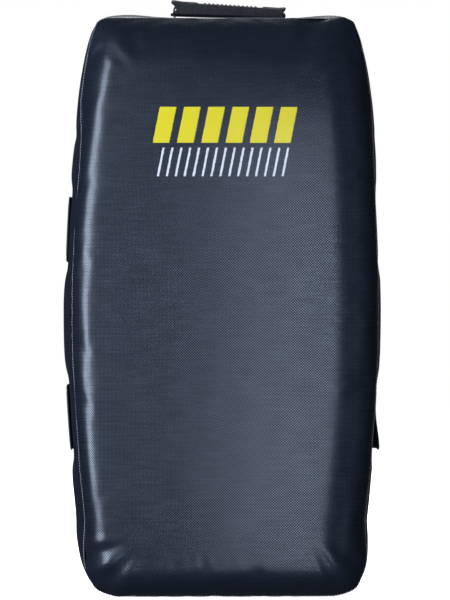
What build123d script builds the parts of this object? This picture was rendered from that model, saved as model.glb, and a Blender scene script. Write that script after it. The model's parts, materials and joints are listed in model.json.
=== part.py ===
"""Kick shield: a padded body shield with a carry handle, a hand grip, two arm straps and a zip.

The shield stands upright on its bottom end. +Z is up, the struck face looks towards -Y, and the
origin is the centre of the flat base. All sizes are in millimetres.
"""
from build123d import *
from math import acos, atan2, cos, degrees, radians, sin, sqrt
import os

os.makedirs("parts", exist_ok=True)

# ---- Driving dimensions: body -------------------------------------------------------------------
body_height = 700.0
body_width = 384.0  # at half height, where the barrel sides are widest
side_radius = 2100.0  # barrel sides, seen from the front
top_corner_radius = 32.0
bottom_corner_radius = 45.0
gusset_depth = 100.0  # the boxed side wall, from the front seam to the back seam
crown_height = 30.0  # the struck face beyond the front seam
crown_roll_radius = 28.0  # rolled edge of the struck face
bow_depth = 36.0  # how far the middle stands forward of the two ends
gusset_join_height = 262.0  # where the upper and lower gusset strips are sewn together

# ---- Driving dimensions: cover and filling ------------------------------------------------------
cover_thickness = 1.2
foam_clearance = 0.4  # between the cover and its filling
rear_foam_thickness = 20.0

# ---- Driving dimensions: zip --------------------------------------------------------------------
zip_height = 95.0
zip_end_margin = 26.5  # from each end of the zip to the edge of the back
zip_slot_width = 12.0  # opening left between the two back panels
tape_width = 16.0
tape_thickness = 0.8
tape_gap = 0.2  # between a tape and the panel that covers it
coil_width = 2.5
coil_height = 2.4
coil_gap = 1.6  # between the two coils, where the post of the slider runs
coil_edge_radius = 0.8
coil_end_gap = 1.0  # from each end of the coils to the stops
slider_length = 12.0
slider_plate = 1.2
slider_corner_radius = 2.5
slider_clearance = 0.3
pull_length = 26.0
pull_width = 8.0
pull_thickness = 1.4
pull_corner_radius = 1.8
bridge_height = 3.4
bridge_thickness = 2.0
pin_radius = 0.8
pin_clearance = 0.1
stop_length = 3.0

# ---- Driving dimensions: carry handle on the top ------------------------------------------------
carry_length = 130.0
carry_width = 26.0
carry_height = 10.5
carry_x = 10.0  # the handle is sewn on a little right of the middle
carry_y = 0.0
carry_tilt = 3.6  # the slack handle lies lower at its right end
carry_rest_gap = 2.9  # under the low end of the grip
carry_edge_radius = 4.8
rib_count = 13
rib_pitch = 5.2
rib_width = 2.6
rib_height = 1.2
carry_webbing_width = 22.0
carry_webbing_thickness = 1.2
webbing_clearance = 0.3
carry_tail_length = 27.0  # sewn end of the webbing
curl_offset = 1.3  # from the end of the grip to the centre of the webbing's curl
end_pad_length = 26.0
end_pad_notch = 6.0  # depth of the swallow-tail in each end pad
end_pad_height = 1.2

# ---- Driving dimensions: hand grip on the back --------------------------------------------------
hand_grip_height = 540.0
hand_grip_span = 150.0  # between the middles of the two sewn ends
hand_grip_reach = 34.0  # clear space for the fingers
hand_webbing_width = 25.0
hand_webbing_thickness = 2.0
hand_sleeve_length = 96.0
hand_sleeve_wall = 2.5
hand_pivot_radius = 13.8  # where the loop can turn against its sewn ends
hand_bend_radius = 6.0
hand_sleeve_margin = 4.0  # from each end of the sleeve to the bend of the webbing
patch_side = 42.0
patch_thickness = 1.5
patch_corner_radius = 5.0
sewn_gap = 0.2  # between pieces that are sewn face to face

# ---- Driving dimensions: arm straps -------------------------------------------------------------
strap_width = 80.0
strap_thickness = 3.0
strap_reach = 70.0  # clear space for the forearm
strap_overlap = 50.0  # each half runs this far past the middle
strap_tab_length = 42.0  # sewn to the gusset, forward of the back seam
strap_corner_rise = 3.0  # the strap turns this far behind the back panel
upper_strap_height = 445.0
lower_strap_height = 216.0
patch_margin = 5.0
closure_thickness = 1.2  # hook patch and loop patch, each
running_gap = 0.3  # between pieces that move against each other

# ---- Worked out from the driving dimensions -----------------------------------------------------
mid_height = body_height / 2
half_depth = gusset_depth / 2
bow_radius = (mid_height**2 + bow_depth**2) / (2 * bow_depth)
reach = body_width  # larger than the body in every direction it is used
past_end = 12.0  # how far a cutting zone runs past the top and the base
filling_inset = cover_thickness + foam_clearance


def bow(height):
    """How far the body stands forward at a height."""
    return sqrt(bow_radius**2 - (height - mid_height) ** 2) - (bow_radius - bow_depth)


def half_width(height, inset=0.0):
    """Half the width of the barrel outline at a height."""
    run = sqrt((side_radius - inset) ** 2 - (height - mid_height) ** 2)
    return body_width / 2 - side_radius + run


def back_y(height):
    """The outer face of the back panel at a height."""
    return half_depth - bow(height)


def outline_prism(inset):
    """The barrel outline, drawn in by inset and run through from front to back."""
    low = inset
    high = body_height - inset
    with BuildPart() as prism:
        with BuildSketch(Plane.XZ) as outline:
            with BuildLine():
                Line((-half_width(low, inset), low), (half_width(low, inset), low))
                ThreePointArc(
                    (half_width(low, inset), low),
                    (body_width / 2 - inset, mid_height),
                    (half_width(high, inset), high),
                )
                Line((half_width(high, inset), high), (-half_width(high, inset), high))
                ThreePointArc(
                    (-half_width(high, inset), high),
                    (-body_width / 2 + inset, mid_height),
                    (-half_width(low, inset), low),
                )
            make_face()
            corners = outline.vertices().group_by(Axis.Y)
            fillet(corners[0], bottom_corner_radius - inset)
            corners = outline.vertices().group_by(Axis.Y)
            fillet(corners[-1], top_corner_radius - inset)
        extrude(amount=reach, both=True)
    return prism.part


def bowed_zone(front, back):
    """The space between two bowed surfaces, named by where they stand at the two ends."""
    low = -past_end
    high = body_height + past_end
    with BuildPart() as zone:
        with BuildSketch(Plane.YZ):
            with BuildLine():
                Line((front - bow(low), low), (back - bow(low), low))
                ThreePointArc(
                    (back - bow(low), low),
                    (back - bow_depth, mid_height),
                    (back - bow(high), high),
                )
                Line((back - bow(high), high), (front - bow(high), high))
                ThreePointArc(
                    (front - bow(high), high),
                    (front - bow_depth, mid_height),
                    (front - bow(low), low),
                )
            make_face()
        extrude(amount=reach, both=True)
    return zone.part


def crown(inset):
    """The rolled-edge form in front of the front seam, drawn in by inset."""
    with BuildPart() as form:
        add(outline_prism(inset))
        add(bowed_zone(inset - half_depth - crown_height, -half_depth), mode=Mode.INTERSECT)
        front_edges = form.faces().sort_by(Axis.Y)[0].edges()
        fillet(front_edges, crown_roll_radius - inset)
    return form.part


def save(piece, label):
    """Names a finished piece and writes its file."""
    piece.label = label
    export_step(piece, f"parts/{label}.step")


outer_prism = outline_prism(0)
inner_prism = outline_prism(cover_thickness)
filling_prism = outline_prism(filling_inset)
gusset_zone = bowed_zone(-half_depth, half_depth - cover_thickness)
back_zone = bowed_zone(half_depth - cover_thickness, half_depth)

# ---- Zip: its plane lies on the back face, local x to the left, local y up, local z outwards ----
zip_length = 2 * (half_width(zip_height) - zip_end_margin)
zip_slope = (zip_height - mid_height) / bow_radius
zip_plane = Plane(
    origin=(0, back_y(zip_height), zip_height),
    x_dir=(-1, 0, 0),
    z_dir=(0, cos(zip_slope), -sin(zip_slope)),
)
tape_top = -cover_thickness - tape_gap
tape_edge = coil_gap / 2
coil_top = tape_top + coil_height
plate_half_width = tape_edge + coil_width + slider_clearance + slider_plate
zip_recess = cover_thickness + tape_gap + tape_thickness + 2 * slider_plate

# ---- Cover --------------------------------------------------------------------------------------
with BuildPart() as front_panel:
    add(crown(0))
    add(crown(cover_thickness), mode=Mode.SUBTRACT)
save(front_panel.part, "front_panel")

with BuildPart() as gusset_upper:
    add(outer_prism)
    add(inner_prism, mode=Mode.SUBTRACT)
    add(gusset_zone, mode=Mode.INTERSECT)
    split(bisect_by=Plane.XY.offset(gusset_join_height), keep=Keep.TOP)
save(gusset_upper.part, "gusset_upper")

with BuildPart() as gusset_lower:
    add(outer_prism)
    add(inner_prism, mode=Mode.SUBTRACT)
    add(gusset_zone, mode=Mode.INTERSECT)
    split(bisect_by=Plane.XY.offset(gusset_join_height), keep=Keep.BOTTOM)
save(gusset_lower.part, "gusset_lower")

zip_cut_plane = Plane(origin=zip_plane.origin, x_dir=zip_plane.x_dir, z_dir=zip_plane.y_dir)
for label, side in (("back_panel_upper", Keep.TOP), ("back_panel_lower", Keep.BOTTOM)):
    with BuildPart() as back_panel:
        add(outer_prism)
        add(back_zone, mode=Mode.INTERSECT)
        split(bisect_by=zip_cut_plane, keep=side)
        with BuildSketch(zip_plane):
            Rectangle(zip_length, zip_slot_width)
        extrude(amount=2 * zip_slot_width, both=True, mode=Mode.SUBTRACT)
    save(back_panel.part, label)

# ---- Filling ------------------------------------------------------------------------------------
save(crown(filling_inset), "impact_foam")

with BuildPart() as core_foam:
    add(filling_prism)
    add(bowed_zone(-half_depth, half_depth - rear_foam_thickness), mode=Mode.INTERSECT)
save(core_foam.part, "core_foam")

with BuildPart() as rear_foam:
    add(filling_prism)
    rear_face = half_depth - filling_inset
    add(bowed_zone(half_depth - rear_foam_thickness, rear_face), mode=Mode.INTERSECT)
    with BuildSketch(zip_plane.offset(-zip_recess)):
        Rectangle(zip_length + 2 * tape_width, 2 * tape_width + zip_slot_width)
    extrude(amount=2 * zip_recess, mode=Mode.SUBTRACT)
save(rear_foam.part, "rear_foam")

# ---- Zip ----------------------------------------------------------------------------------------
for label, way in (("zip_tape_upper", 1), ("zip_tape_lower", -1)):
    with BuildPart() as tape:
        with BuildSketch(zip_plane.offset(tape_top)):
            with Locations((0, way * (tape_edge + tape_width / 2))):
                Rectangle(zip_length + tape_width, tape_width)
        extrude(amount=-tape_thickness)
    save(tape.part, label)

for label, way in (("zip_coil_upper", 1), ("zip_coil_lower", -1)):
    with BuildPart() as coil:
        with BuildSketch(zip_plane.offset(tape_top)):
            with Locations((0, way * (tape_edge + coil_width / 2))):
                Rectangle(zip_length - 2 * (stop_length + coil_end_gap), coil_width)
        extrude(amount=coil_height)
        outer_edges = coil.edges().group_by(Axis(zip_plane.origin, zip_plane.z_dir))[-1]
        fillet(outer_edges, coil_edge_radius)
    save(coil.part, label)

with BuildPart() as zip_stops:
    with BuildSketch(zip_plane.offset(tape_top)):
        with GridLocations(zip_length - stop_length, 0, 2, 1):
            Rectangle(stop_length, 2 * (tape_edge + coil_width))
    extrude(amount=coil_height)
save(zip_stops.part, "zip_stops")

# The slider starts at the closed end, against its stop.
slider_x = zip_length / 2 - 2 * stop_length - slider_length / 2
plate_top = coil_top + slider_clearance + slider_plate
plate_under = tape_top - tape_thickness - slider_clearance
pin_level = plate_top + bridge_height - 2 * pin_radius
with BuildPart() as zip_slider:
    with BuildSketch(zip_plane.offset(plate_top - slider_plate)):
        with Locations((slider_x, 0)):
            RectangleRounded(slider_length, 2 * plate_half_width, slider_corner_radius)
    extrude(amount=slider_plate)
    with BuildSketch(zip_plane.offset(plate_under)):
        with Locations((slider_x, 0)):
            RectangleRounded(slider_length, 2 * plate_half_width, slider_corner_radius)
    extrude(amount=-slider_plate)
    with BuildSketch(zip_plane.offset(plate_under)):
        with Locations((slider_x, 0)):
            Rectangle(slider_length / 2, coil_gap - 2 * slider_clearance)
    extrude(amount=plate_top - plate_under)
    with BuildSketch(zip_plane.offset(tape_top + slider_clearance)):
        with GridLocations(0, 2 * plate_half_width - slider_plate, 1, 2):
            with Locations((slider_x, 0)):
                Rectangle(slider_length / 2, slider_plate)
    extrude(amount=coil_height)
    with BuildSketch(zip_plane.offset(plate_top)):
        with Locations((slider_x, 0)):
            Rectangle(2 * bridge_thickness, bridge_thickness)
    extrude(amount=bridge_height)
    pin_plane = Plane(
        origin=zip_plane.from_local_coords((slider_x, 0, pin_level)),
        x_dir=zip_plane.x_dir,
        z_dir=zip_plane.y_dir,
    )
    with BuildSketch(pin_plane):
        Circle(pin_radius + pin_clearance)
    extrude(amount=bridge_thickness, both=True, mode=Mode.SUBTRACT)
save(zip_slider.part, "zip_slider")

fork_gap = bridge_thickness + 2 * slider_clearance
fork_length = 3 * bridge_thickness
fork_wall = 0.5  # how far the pin is let into each side of the fork
with BuildPart() as zip_pull:
    with BuildSketch(zip_plane.offset(pin_level - pull_thickness / 2)):
        with Locations((slider_x - pull_length / 2 + pull_thickness / 2, 0)):
            RectangleRounded(pull_length, pull_width, pull_corner_radius)
        with Locations((slider_x - fork_length / 2 + pull_thickness, 0)):
            Rectangle(fork_length + pull_thickness, fork_gap, mode=Mode.SUBTRACT)
        with Locations((slider_x - pull_length + pull_width / 2, 0)):
            SlotOverall(pull_width / 2, pull_width / 4, mode=Mode.SUBTRACT)
    extrude(amount=pull_thickness)
    with BuildSketch(pin_plane):
        Circle(pin_radius)
    extrude(amount=fork_gap / 2 + fork_wall, both=True)
save(zip_pull.part, "zip_pull")

# ---- Carry handle: its plane lies under the grip, local x along the grip, local z up ------------
tilt = radians(carry_tilt)
carry_bottom = body_height + carry_rest_gap + carry_length / 2 * sin(tilt)
carry_plane = Plane(
    origin=(carry_x, carry_y, carry_bottom),
    x_dir=(cos(tilt), 0, -sin(tilt)),
    z_dir=(sin(tilt), 0, cos(tilt)),
)
slot_height = carry_webbing_thickness + 2 * webbing_clearance
slot_width = carry_webbing_width + 2 * webbing_clearance
slot_level = carry_height / 2
with BuildPart() as carry_grip:
    with BuildSketch(carry_plane):
        Rectangle(carry_length, carry_width)
    extrude(amount=carry_height)
    long_edges = carry_grip.edges().filter_by(Axis(carry_plane.origin, carry_plane.x_dir))
    fillet(long_edges, carry_edge_radius)
    with BuildSketch(carry_plane.offset(carry_height - rib_height)):
        with GridLocations(rib_pitch, 0, rib_count, 1):
            Rectangle(rib_width, carry_width - 2 * carry_edge_radius)
    extrude(amount=2 * rib_height)
    with BuildSketch(carry_plane.offset(carry_height - end_pad_height)):
        for way in (1, -1):
            end = way * carry_length / 2
            inner = way * (carry_length / 2 - end_pad_length)
            notch = way * (carry_length / 2 - end_pad_length + end_pad_notch)
            edge = carry_width / 2 - carry_edge_radius
            with BuildLine():
                Polyline((end, -edge), (inner, -edge), (notch, 0), (inner, edge), (end, edge), close=True)
            make_face()
    extrude(amount=2 * end_pad_height)
    with BuildSketch(carry_plane.offset(slot_level - slot_height / 2)):
        Rectangle(carry_length + 2, slot_width)
    extrude(amount=slot_height, mode=Mode.SUBTRACT)
save(carry_grip.part, "carry_grip")

with BuildPart() as carry_webbing_core:
    with BuildSketch(carry_plane.offset(slot_level - carry_webbing_thickness / 2)):
        Rectangle(carry_length, carry_webbing_width)
    extrude(amount=carry_webbing_thickness)
save(carry_webbing_core.part, "carry_webbing_core")

# At each end the webbing curls outwards and down, and its tail runs back under the grip.
tail_middle = body_height + sewn_gap + carry_webbing_thickness / 2
webbing_plane = Plane.XZ.offset(-carry_y)
with BuildPart() as carry_webbing_legs:
    with BuildSketch(webbing_plane):
        for way in (1, -1):
            exit_point = carry_plane.from_local_coords((way * carry_length / 2, 0, slot_level))
            curl_x = exit_point.X + way * curl_offset
            curl_radius = (exit_point.Z - tail_middle) / 2
            curl_middle = (exit_point.Z + tail_middle) / 2
            with Locations((curl_x, curl_middle)):
                Circle(curl_radius + carry_webbing_thickness / 2)
                Circle(curl_radius - carry_webbing_thickness / 2, mode=Mode.SUBTRACT)
            with Locations((curl_x - way * carry_height, curl_middle)):
                Rectangle(2 * carry_height, 4 * carry_height, mode=Mode.SUBTRACT)
    extrude(amount=carry_webbing_width / 2, both=True)
save(carry_webbing_legs.part, "carry_webbing_legs")

with BuildPart() as carry_webbing_tails:
    with BuildSketch(webbing_plane):
        for way in (1, -1):
            exit_point = carry_plane.from_local_coords((way * carry_length / 2, 0, slot_level))
            tail_end = exit_point.X + way * (curl_offset - webbing_clearance)
            with Locations((tail_end - way * carry_tail_length / 2, tail_middle)):
                Rectangle(carry_tail_length, carry_webbing_thickness)
    extrude(amount=carry_webbing_width / 2, both=True)
save(carry_webbing_tails.part, "carry_webbing_tails")

# ---- Hand grip: its plane lies on the back face, local x to the left, local z outwards ----------
hand_slope = (hand_grip_height - mid_height) / bow_radius
hand_plane = Plane(
    origin=(0, back_y(hand_grip_height), hand_grip_height),
    x_dir=(-1, 0, 0),
    z_dir=(0, cos(hand_slope), -sin(hand_slope)),
)
hand_section = Plane(origin=hand_plane.origin, x_dir=hand_plane.x_dir, z_dir=-hand_plane.y_dir)
patch_top = sewn_gap + patch_thickness
webbing_half = hand_webbing_thickness / 2
hand_level = hand_grip_reach + webbing_half
foot_x = hand_grip_span / 2
shoulder_x = hand_sleeve_length / 2 + hand_sleeve_margin


def hand_webbing_outline():
    """The side view of the webbing, which rises from its sewn ends to the sleeve."""
    low = patch_top + sewn_gap + webbing_half
    tail = foot_x + patch_side / 3
    with BuildSketch(hand_section) as side_view:
        with BuildLine() as path:
            FilletPolyline(
                (-tail, low),
                (-foot_x, low),
                (-shoulder_x, hand_level),
                (shoulder_x, hand_level),
                (foot_x, low),
                (tail, low),
                radius=hand_bend_radius,
            )
        trace(path.line, line_width=hand_webbing_thickness)
    return side_view.sketch


def hand_pivot_drum(radius):
    """A drum about the axis on which the loop swings."""
    drum_plane = Plane(origin=hand_plane.origin, x_dir=hand_plane.y_dir, z_dir=hand_plane.x_dir)
    with BuildPart() as drum:
        with BuildSketch(drum_plane):
            Circle(radius)
        extrude(amount=hand_grip_span, both=True)
    return drum.part


with BuildPart() as hand_grip_patches:
    with BuildSketch(hand_plane.offset(sewn_gap)):
        with GridLocations(hand_grip_span + patch_side / 4, 0, 2, 1):
            RectangleRounded(patch_side, patch_side, patch_corner_radius)
    extrude(amount=patch_thickness)
save(hand_grip_patches.part, "hand_grip_patches")

webbing_outline = hand_webbing_outline()
with BuildPart() as hand_grip_ends:
    extrude(webbing_outline, hand_webbing_width / 2, hand_section.z_dir, both=True)
    add(hand_pivot_drum(hand_pivot_radius - running_gap), mode=Mode.INTERSECT)
save(hand_grip_ends.part, "hand_grip_ends")

with BuildPart() as hand_grip_webbing:
    extrude(webbing_outline, hand_webbing_width / 2, hand_section.z_dir, both=True)
    add(hand_pivot_drum(hand_pivot_radius), mode=Mode.SUBTRACT)
save(hand_grip_webbing.part, "hand_grip_webbing")

sleeve_height = hand_webbing_thickness + 2 * (webbing_clearance + hand_sleeve_wall)
sleeve_width = hand_webbing_width + 2 * (webbing_clearance + hand_sleeve_wall)
with BuildPart() as hand_grip_sleeve:
    sleeve_plane = Plane(
        origin=hand_plane.from_local_coords((0, 0, hand_level)),
        x_dir=hand_plane.y_dir,
        z_dir=hand_plane.x_dir,
    )
    with BuildSketch(sleeve_plane):
        RectangleRounded(sleeve_width, sleeve_height, sleeve_height / 2 - 0.1)
        Rectangle(
            hand_webbing_width + 2 * webbing_clearance,
            hand_webbing_thickness + 2 * webbing_clearance,
            mode=Mode.SUBTRACT,
        )
    extrude(amount=hand_sleeve_length / 2, both=True)
save(hand_grip_sleeve.part, "hand_grip_sleeve")


# ---- Arm straps: each is two halves that overlap behind the middle of the back ------------------
def arc_band(centre_y, inner_radius, outer_radius, start_angle, end_angle):
    """A ring sector about a point on the Y axis."""
    sweep_angle = end_angle - start_angle
    with BuildSketch() as band:
        with BuildLine():
            inner_arc = CenterArc((0, centre_y), inner_radius, start_angle, sweep_angle)
            outer_arc = CenterArc((0, centre_y), outer_radius, start_angle, sweep_angle)
            Line(inner_arc @ 0, outer_arc @ 0)
            Line(inner_arc @ 1, outer_arc @ 1)
        make_face()
    return band.sketch


half_thickness = strap_thickness / 2
for name, middle in (("upper", upper_strap_height), ("lower", lower_strap_height)):
    low = middle - strap_width / 2
    high = middle + strap_width / 2
    widest = half_width(min(max(mid_height, low), high))
    rearmost = max(back_y(low), back_y(high))
    tab_x = widest + running_gap + half_thickness
    tab_front = rearmost - strap_tab_length
    corner_y = rearmost + strap_corner_rise
    crest_y = rearmost + strap_reach + half_thickness
    rise = crest_y - corner_y
    loop_radius = (tab_x**2 + rise**2) / (2 * rise)
    centre_y = crest_y - loop_radius
    flap_radius = loop_radius + strap_thickness + 2 * closure_thickness + 3 * running_gap
    pivot_y = centre_y + sqrt(flap_radius**2 - tab_x**2)
    strap_plane = Plane.XY.offset(low)
    patch_plane = Plane.XY.offset(low + patch_margin)
    patch_height = strap_width - 2 * patch_margin

    with BuildPart() as strap_left:
        with BuildSketch(strap_plane):
            corner_angle = degrees(atan2(corner_y - centre_y, -tab_x))
            end_angle = degrees(acos(strap_overlap / loop_radius))
            inside = loop_radius - half_thickness
            add(arc_band(centre_y, inside, inside + strap_thickness, end_angle, corner_angle))
            with Locations((-tab_x, corner_y)):
                Circle(half_thickness)
            with Locations((-tab_x, (corner_y + tab_front) / 2)):
                Rectangle(strap_thickness, corner_y - tab_front)
        extrude(amount=strap_width)
    save(strap_left.part, f"{name}_strap_left")

    with BuildPart() as strap_tab:
        with BuildSketch(strap_plane):
            with Locations((tab_x, (pivot_y + tab_front) / 2)):
                Rectangle(strap_thickness, pivot_y - tab_front)
            with Locations((tab_x, pivot_y)):
                Circle(half_thickness + running_gap, mode=Mode.SUBTRACT)
        extrude(amount=strap_width)
    save(strap_tab.part, f"{name}_strap_tab")

    with BuildPart() as strap_flap:
        with BuildSketch(strap_plane):
            start_angle = degrees(atan2(pivot_y - centre_y, tab_x))
            flap_end = degrees(acos(-strap_overlap / flap_radius))
            inside = flap_radius - half_thickness
            add(arc_band(centre_y, inside, inside + strap_thickness, start_angle, flap_end))
            with Locations((tab_x, pivot_y)):
                Circle(half_thickness)
        extrude(amount=strap_width)
    save(strap_flap.part, f"{name}_strap_flap")

    patch_start = degrees(acos((strap_overlap - patch_margin) / flap_radius))
    patch_end = 180 - patch_start
    with BuildPart() as loop_patch:
        with BuildSketch(patch_plane):
            inside = loop_radius + half_thickness + running_gap
            add(arc_band(centre_y, inside, inside + closure_thickness, patch_start, patch_end))
        extrude(amount=patch_height)
    save(loop_patch.part, f"{name}_loop_patch")

    with BuildPart() as hook_patch:
        with BuildSketch(patch_plane):
            outside = flap_radius - half_thickness - running_gap / 3
            add(arc_band(centre_y, outside - closure_thickness, outside, patch_start, patch_end))
        extrude(amount=patch_height)
    save(hook_patch.part, f"{name}_hook_patch")

    print(f"{name} strap: pivot x {tab_x:.3f} y {pivot_y:.3f}, z {low:.1f} to {high:.1f}")
    print(f"  back face {rearmost:.2f}, crest {crest_y:.2f}, centre {centre_y:.2f}, r {loop_radius:.2f}")

print("zip plane", zip_plane.origin, zip_plane.z_dir)
print("zip pull pin", pin_plane.origin, "axis", pin_plane.z_dir)
print("hand grip", hand_plane.origin, hand_plane.z_dir)
print("carry grip bottom", carry_bottom)
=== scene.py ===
# %% [markdown]
# # A kick shield, built in Blender around its CAD frame
# The shield is a tall foam pad in a coated-fabric cover. The CAD model holds every size, body and
# joint. This script makes what the eye sees: the stuffed cover with its sewn edges, the webbing,
# the moulded carry grip, the straps and the zip.

# %% Load the frame
import json
import bpy
import bmesh
import numpy as np
from math import acos, atan2, cos, pi, radians, sin, sqrt
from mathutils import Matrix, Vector

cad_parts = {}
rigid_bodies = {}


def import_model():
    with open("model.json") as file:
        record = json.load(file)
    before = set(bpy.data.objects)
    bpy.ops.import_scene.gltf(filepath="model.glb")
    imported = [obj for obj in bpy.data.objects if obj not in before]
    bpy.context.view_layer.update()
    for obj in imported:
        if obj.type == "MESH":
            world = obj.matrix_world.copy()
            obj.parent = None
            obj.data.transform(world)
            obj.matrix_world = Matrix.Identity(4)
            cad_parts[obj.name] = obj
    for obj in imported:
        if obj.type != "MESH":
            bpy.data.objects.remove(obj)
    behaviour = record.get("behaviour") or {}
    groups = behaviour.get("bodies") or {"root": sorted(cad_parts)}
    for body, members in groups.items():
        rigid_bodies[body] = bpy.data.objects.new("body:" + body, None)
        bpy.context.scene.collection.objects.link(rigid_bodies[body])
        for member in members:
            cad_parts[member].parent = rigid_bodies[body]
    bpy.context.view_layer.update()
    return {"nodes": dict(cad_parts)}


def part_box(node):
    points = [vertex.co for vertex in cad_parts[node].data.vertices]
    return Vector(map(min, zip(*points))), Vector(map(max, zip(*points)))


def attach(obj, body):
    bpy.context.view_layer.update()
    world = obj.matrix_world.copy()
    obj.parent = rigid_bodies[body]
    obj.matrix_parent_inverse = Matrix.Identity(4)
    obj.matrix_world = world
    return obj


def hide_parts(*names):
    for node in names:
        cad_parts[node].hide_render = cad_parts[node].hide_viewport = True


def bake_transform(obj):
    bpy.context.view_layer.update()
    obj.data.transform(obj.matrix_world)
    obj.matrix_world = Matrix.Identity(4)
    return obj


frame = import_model()
scene = bpy.context.scene
mm = 0.001

# %% [markdown]
# ## Sizes
# The outline is a barrel: two wide arcs for the sides, straight ends, rounded corners. Seen from
# the side the whole pad is bowed, with its middle forward. These few values repeat the design, so
# that the cover can be shaped by the same formulas; heights and widths come from the frame.

# %% The form of the pad
body_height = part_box("gusset_upper")[1][2]
body_width = 2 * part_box("gusset_upper")[1][0]
mid_height = body_height / 2
side_radius = 2100 * mm
corner_radius = {"low": 42 * mm, "high": 28 * mm}
half_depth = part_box("back_panel_upper")[1][1]
crown_height = 31 * mm
cross_crown = 8 * mm
bow_depth = 36 * mm
bow_radius = (mid_height**2 + bow_depth**2) / (2 * bow_depth)
gusset_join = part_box("gusset_lower")[1][2]
print(f"pad {body_width:.3f} wide, {body_height:.3f} tall, seams at {half_depth:.3f}")


def bow(z):
    """How far the pad stands forward at a height."""
    return np.sqrt(bow_radius**2 - (z - mid_height) ** 2) - (bow_radius - bow_depth)


def half_width(z):
    """Half the width of the barrel at a height."""
    return body_width / 2 - side_radius + np.sqrt(side_radius**2 - (z - mid_height) ** 2)


# %% [markdown]
# ## Camera, light and floor
# A long lens looks level at the struck face. A tall strip light far to the left draws the bright
# line along the left roll of the cover. A large soft light beside the camera, to the right, makes
# the broad sheen. Everything else stays dim, so that the black cover keeps its depth.

# %% Camera
scene.view_settings.view_transform = "Standard"
view_height = 0.726
view_distance = 4.0
view_target = Vector((0.0035, -0.04, 0.3588))
view_turn = radians(-1.5)
camera_data = bpy.data.cameras.new("camera")
camera = bpy.data.objects.new("camera", camera_data)
scene.collection.objects.link(camera)
camera_data.sensor_fit = "VERTICAL"
camera_data.sensor_height = 24
camera_data.lens = camera_data.sensor_height * view_distance / view_height
camera.location = view_target + view_distance * Vector((sin(view_turn), -cos(view_turn), 0))
camera.rotation_euler = (view_target - camera.location).to_track_quat("-Z", "Y").to_euler()
scene.camera = camera


# %% Lights and world
def add_softbox(name, place, aim, size, watts, colour=(1, 1, 1)):
    """A rectangular softbox at a place, aimed at a point."""
    data = bpy.data.lights.new(name, "AREA")
    data.shape = "RECTANGLE"
    data.size, data.size_y = size
    data.energy = watts
    data.color = colour
    lamp = bpy.data.objects.new(name, data)
    lamp.location = place
    lamp.rotation_euler = (Vector(aim) - Vector(place)).to_track_quat("-Z", "Y").to_euler()
    scene.collection.objects.link(lamp)
    return lamp


pad_middle = (0, -0.05, 0.36)
cool = (0.84, 0.92, 1.08)
add_softbox("left_strip", (-1.14, -1.47, 0.60), (0, -0.05, 0.54), (0.66, 2.5), 88, cool)
add_softbox("right_soft", (0.44, -2.46, -0.05), (0, -0.05, 0.2), (0.50, 2.9), 33, cool)
top_soft = add_softbox("top_soft", (0.1, 0.4, 2.4), (0, 0.2, 0), (1.6, 1.2), 16)
back_soft = add_softbox("back_soft", (-0.9, 2.4, 1.1), pad_middle, (1.6, 1.4), 90)
top_soft.visible_glossy = back_soft.visible_glossy = False
add_softbox("back_gloss", (-0.3, 1.5, 2.1), pad_middle, (1.6, 0.7), 14)
world = bpy.data.worlds.new("studio")
scene.world = world
world.use_nodes = True
background = world.node_tree.nodes["Background"]
background.inputs["Color"].default_value = (0.85, 0.9, 1.0, 1)
background.inputs["Strength"].default_value = 0.05
white = world.node_tree.nodes.new("ShaderNodeBackground")
white.inputs["Color"].default_value = (1, 1, 1, 1)
light_path = world.node_tree.nodes.new("ShaderNodeLightPath")
share = world.node_tree.nodes.new("ShaderNodeMixShader")
world.node_tree.links.new(light_path.outputs["Is Camera Ray"], share.inputs[0])
world.node_tree.links.new(background.outputs[0], share.inputs[1])
world.node_tree.links.new(white.outputs[0], share.inputs[2])
world.node_tree.links.new(share.outputs[0], world.node_tree.nodes["World Output"].inputs["Surface"])


# %% Floor
def plain_material(name, colour, roughness, glow=0.0):
    """A simple even surface, for what isn't part of the shield."""
    material = bpy.data.materials.new(name)
    material.use_nodes = True
    shader = material.node_tree.nodes["Principled BSDF"]
    shader.inputs["Base Color"].default_value = (*colour, 1)
    shader.inputs["Roughness"].default_value = roughness
    shader.inputs["Emission Color"].default_value = (1, 1, 1, 1)
    shader.inputs["Emission Strength"].default_value = glow
    return material


bpy.ops.object.select_all(action="DESELECT")
bpy.ops.mesh.primitive_plane_add(size=14, location=(0, 0, -0.0015))
floor = bpy.context.object
floor.name = "floor"
floor.visible_shadow = floor.visible_glossy = floor.visible_diffuse = False
floor.data.materials.append(plain_material("floor_paint", (0.8, 0.8, 0.8), 0.9, 1.0))

# %% [markdown]
# ## The cover's surface
# A real cover is sewn from flat panels: a struck front, two lengths of side wall and two back
# panels. All five share one skin here, so that the seams meet. The skin starts as a cube cut into
# small panels, and each row of the cut is then moved to its place on the barrel outline. Rows lie
# closer together beside a seam, where the fabric turns in.

# %% Helpers for modelling
TINY = 1e-6


def deselect_all():
    """Nothing selected, in object mode."""
    if bpy.context.object and bpy.context.object.mode != "OBJECT":
        bpy.ops.object.mode_set(mode="OBJECT")
    bpy.ops.object.select_all(action="DESELECT")


def pick(piece):
    """Make one piece the selected and active one."""
    deselect_all()
    piece.select_set(True)
    bpy.context.view_layer.objects.active = piece
    return piece


def apply_modifier(piece, kind, **settings):
    """Add a modifier, set it and apply it."""
    pick(piece)
    modifier = piece.modifiers.new(kind.lower(), kind)
    for key, value in settings.items():
        setattr(modifier, key, value)
    bpy.ops.object.modifier_apply(modifier=modifier.name)
    return piece


def get_points(piece):
    """The piece's vertices as an array."""
    flat = np.empty(3 * len(piece.data.vertices))
    piece.data.vertices.foreach_get("co", flat)
    return flat.reshape(-1, 3)


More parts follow.
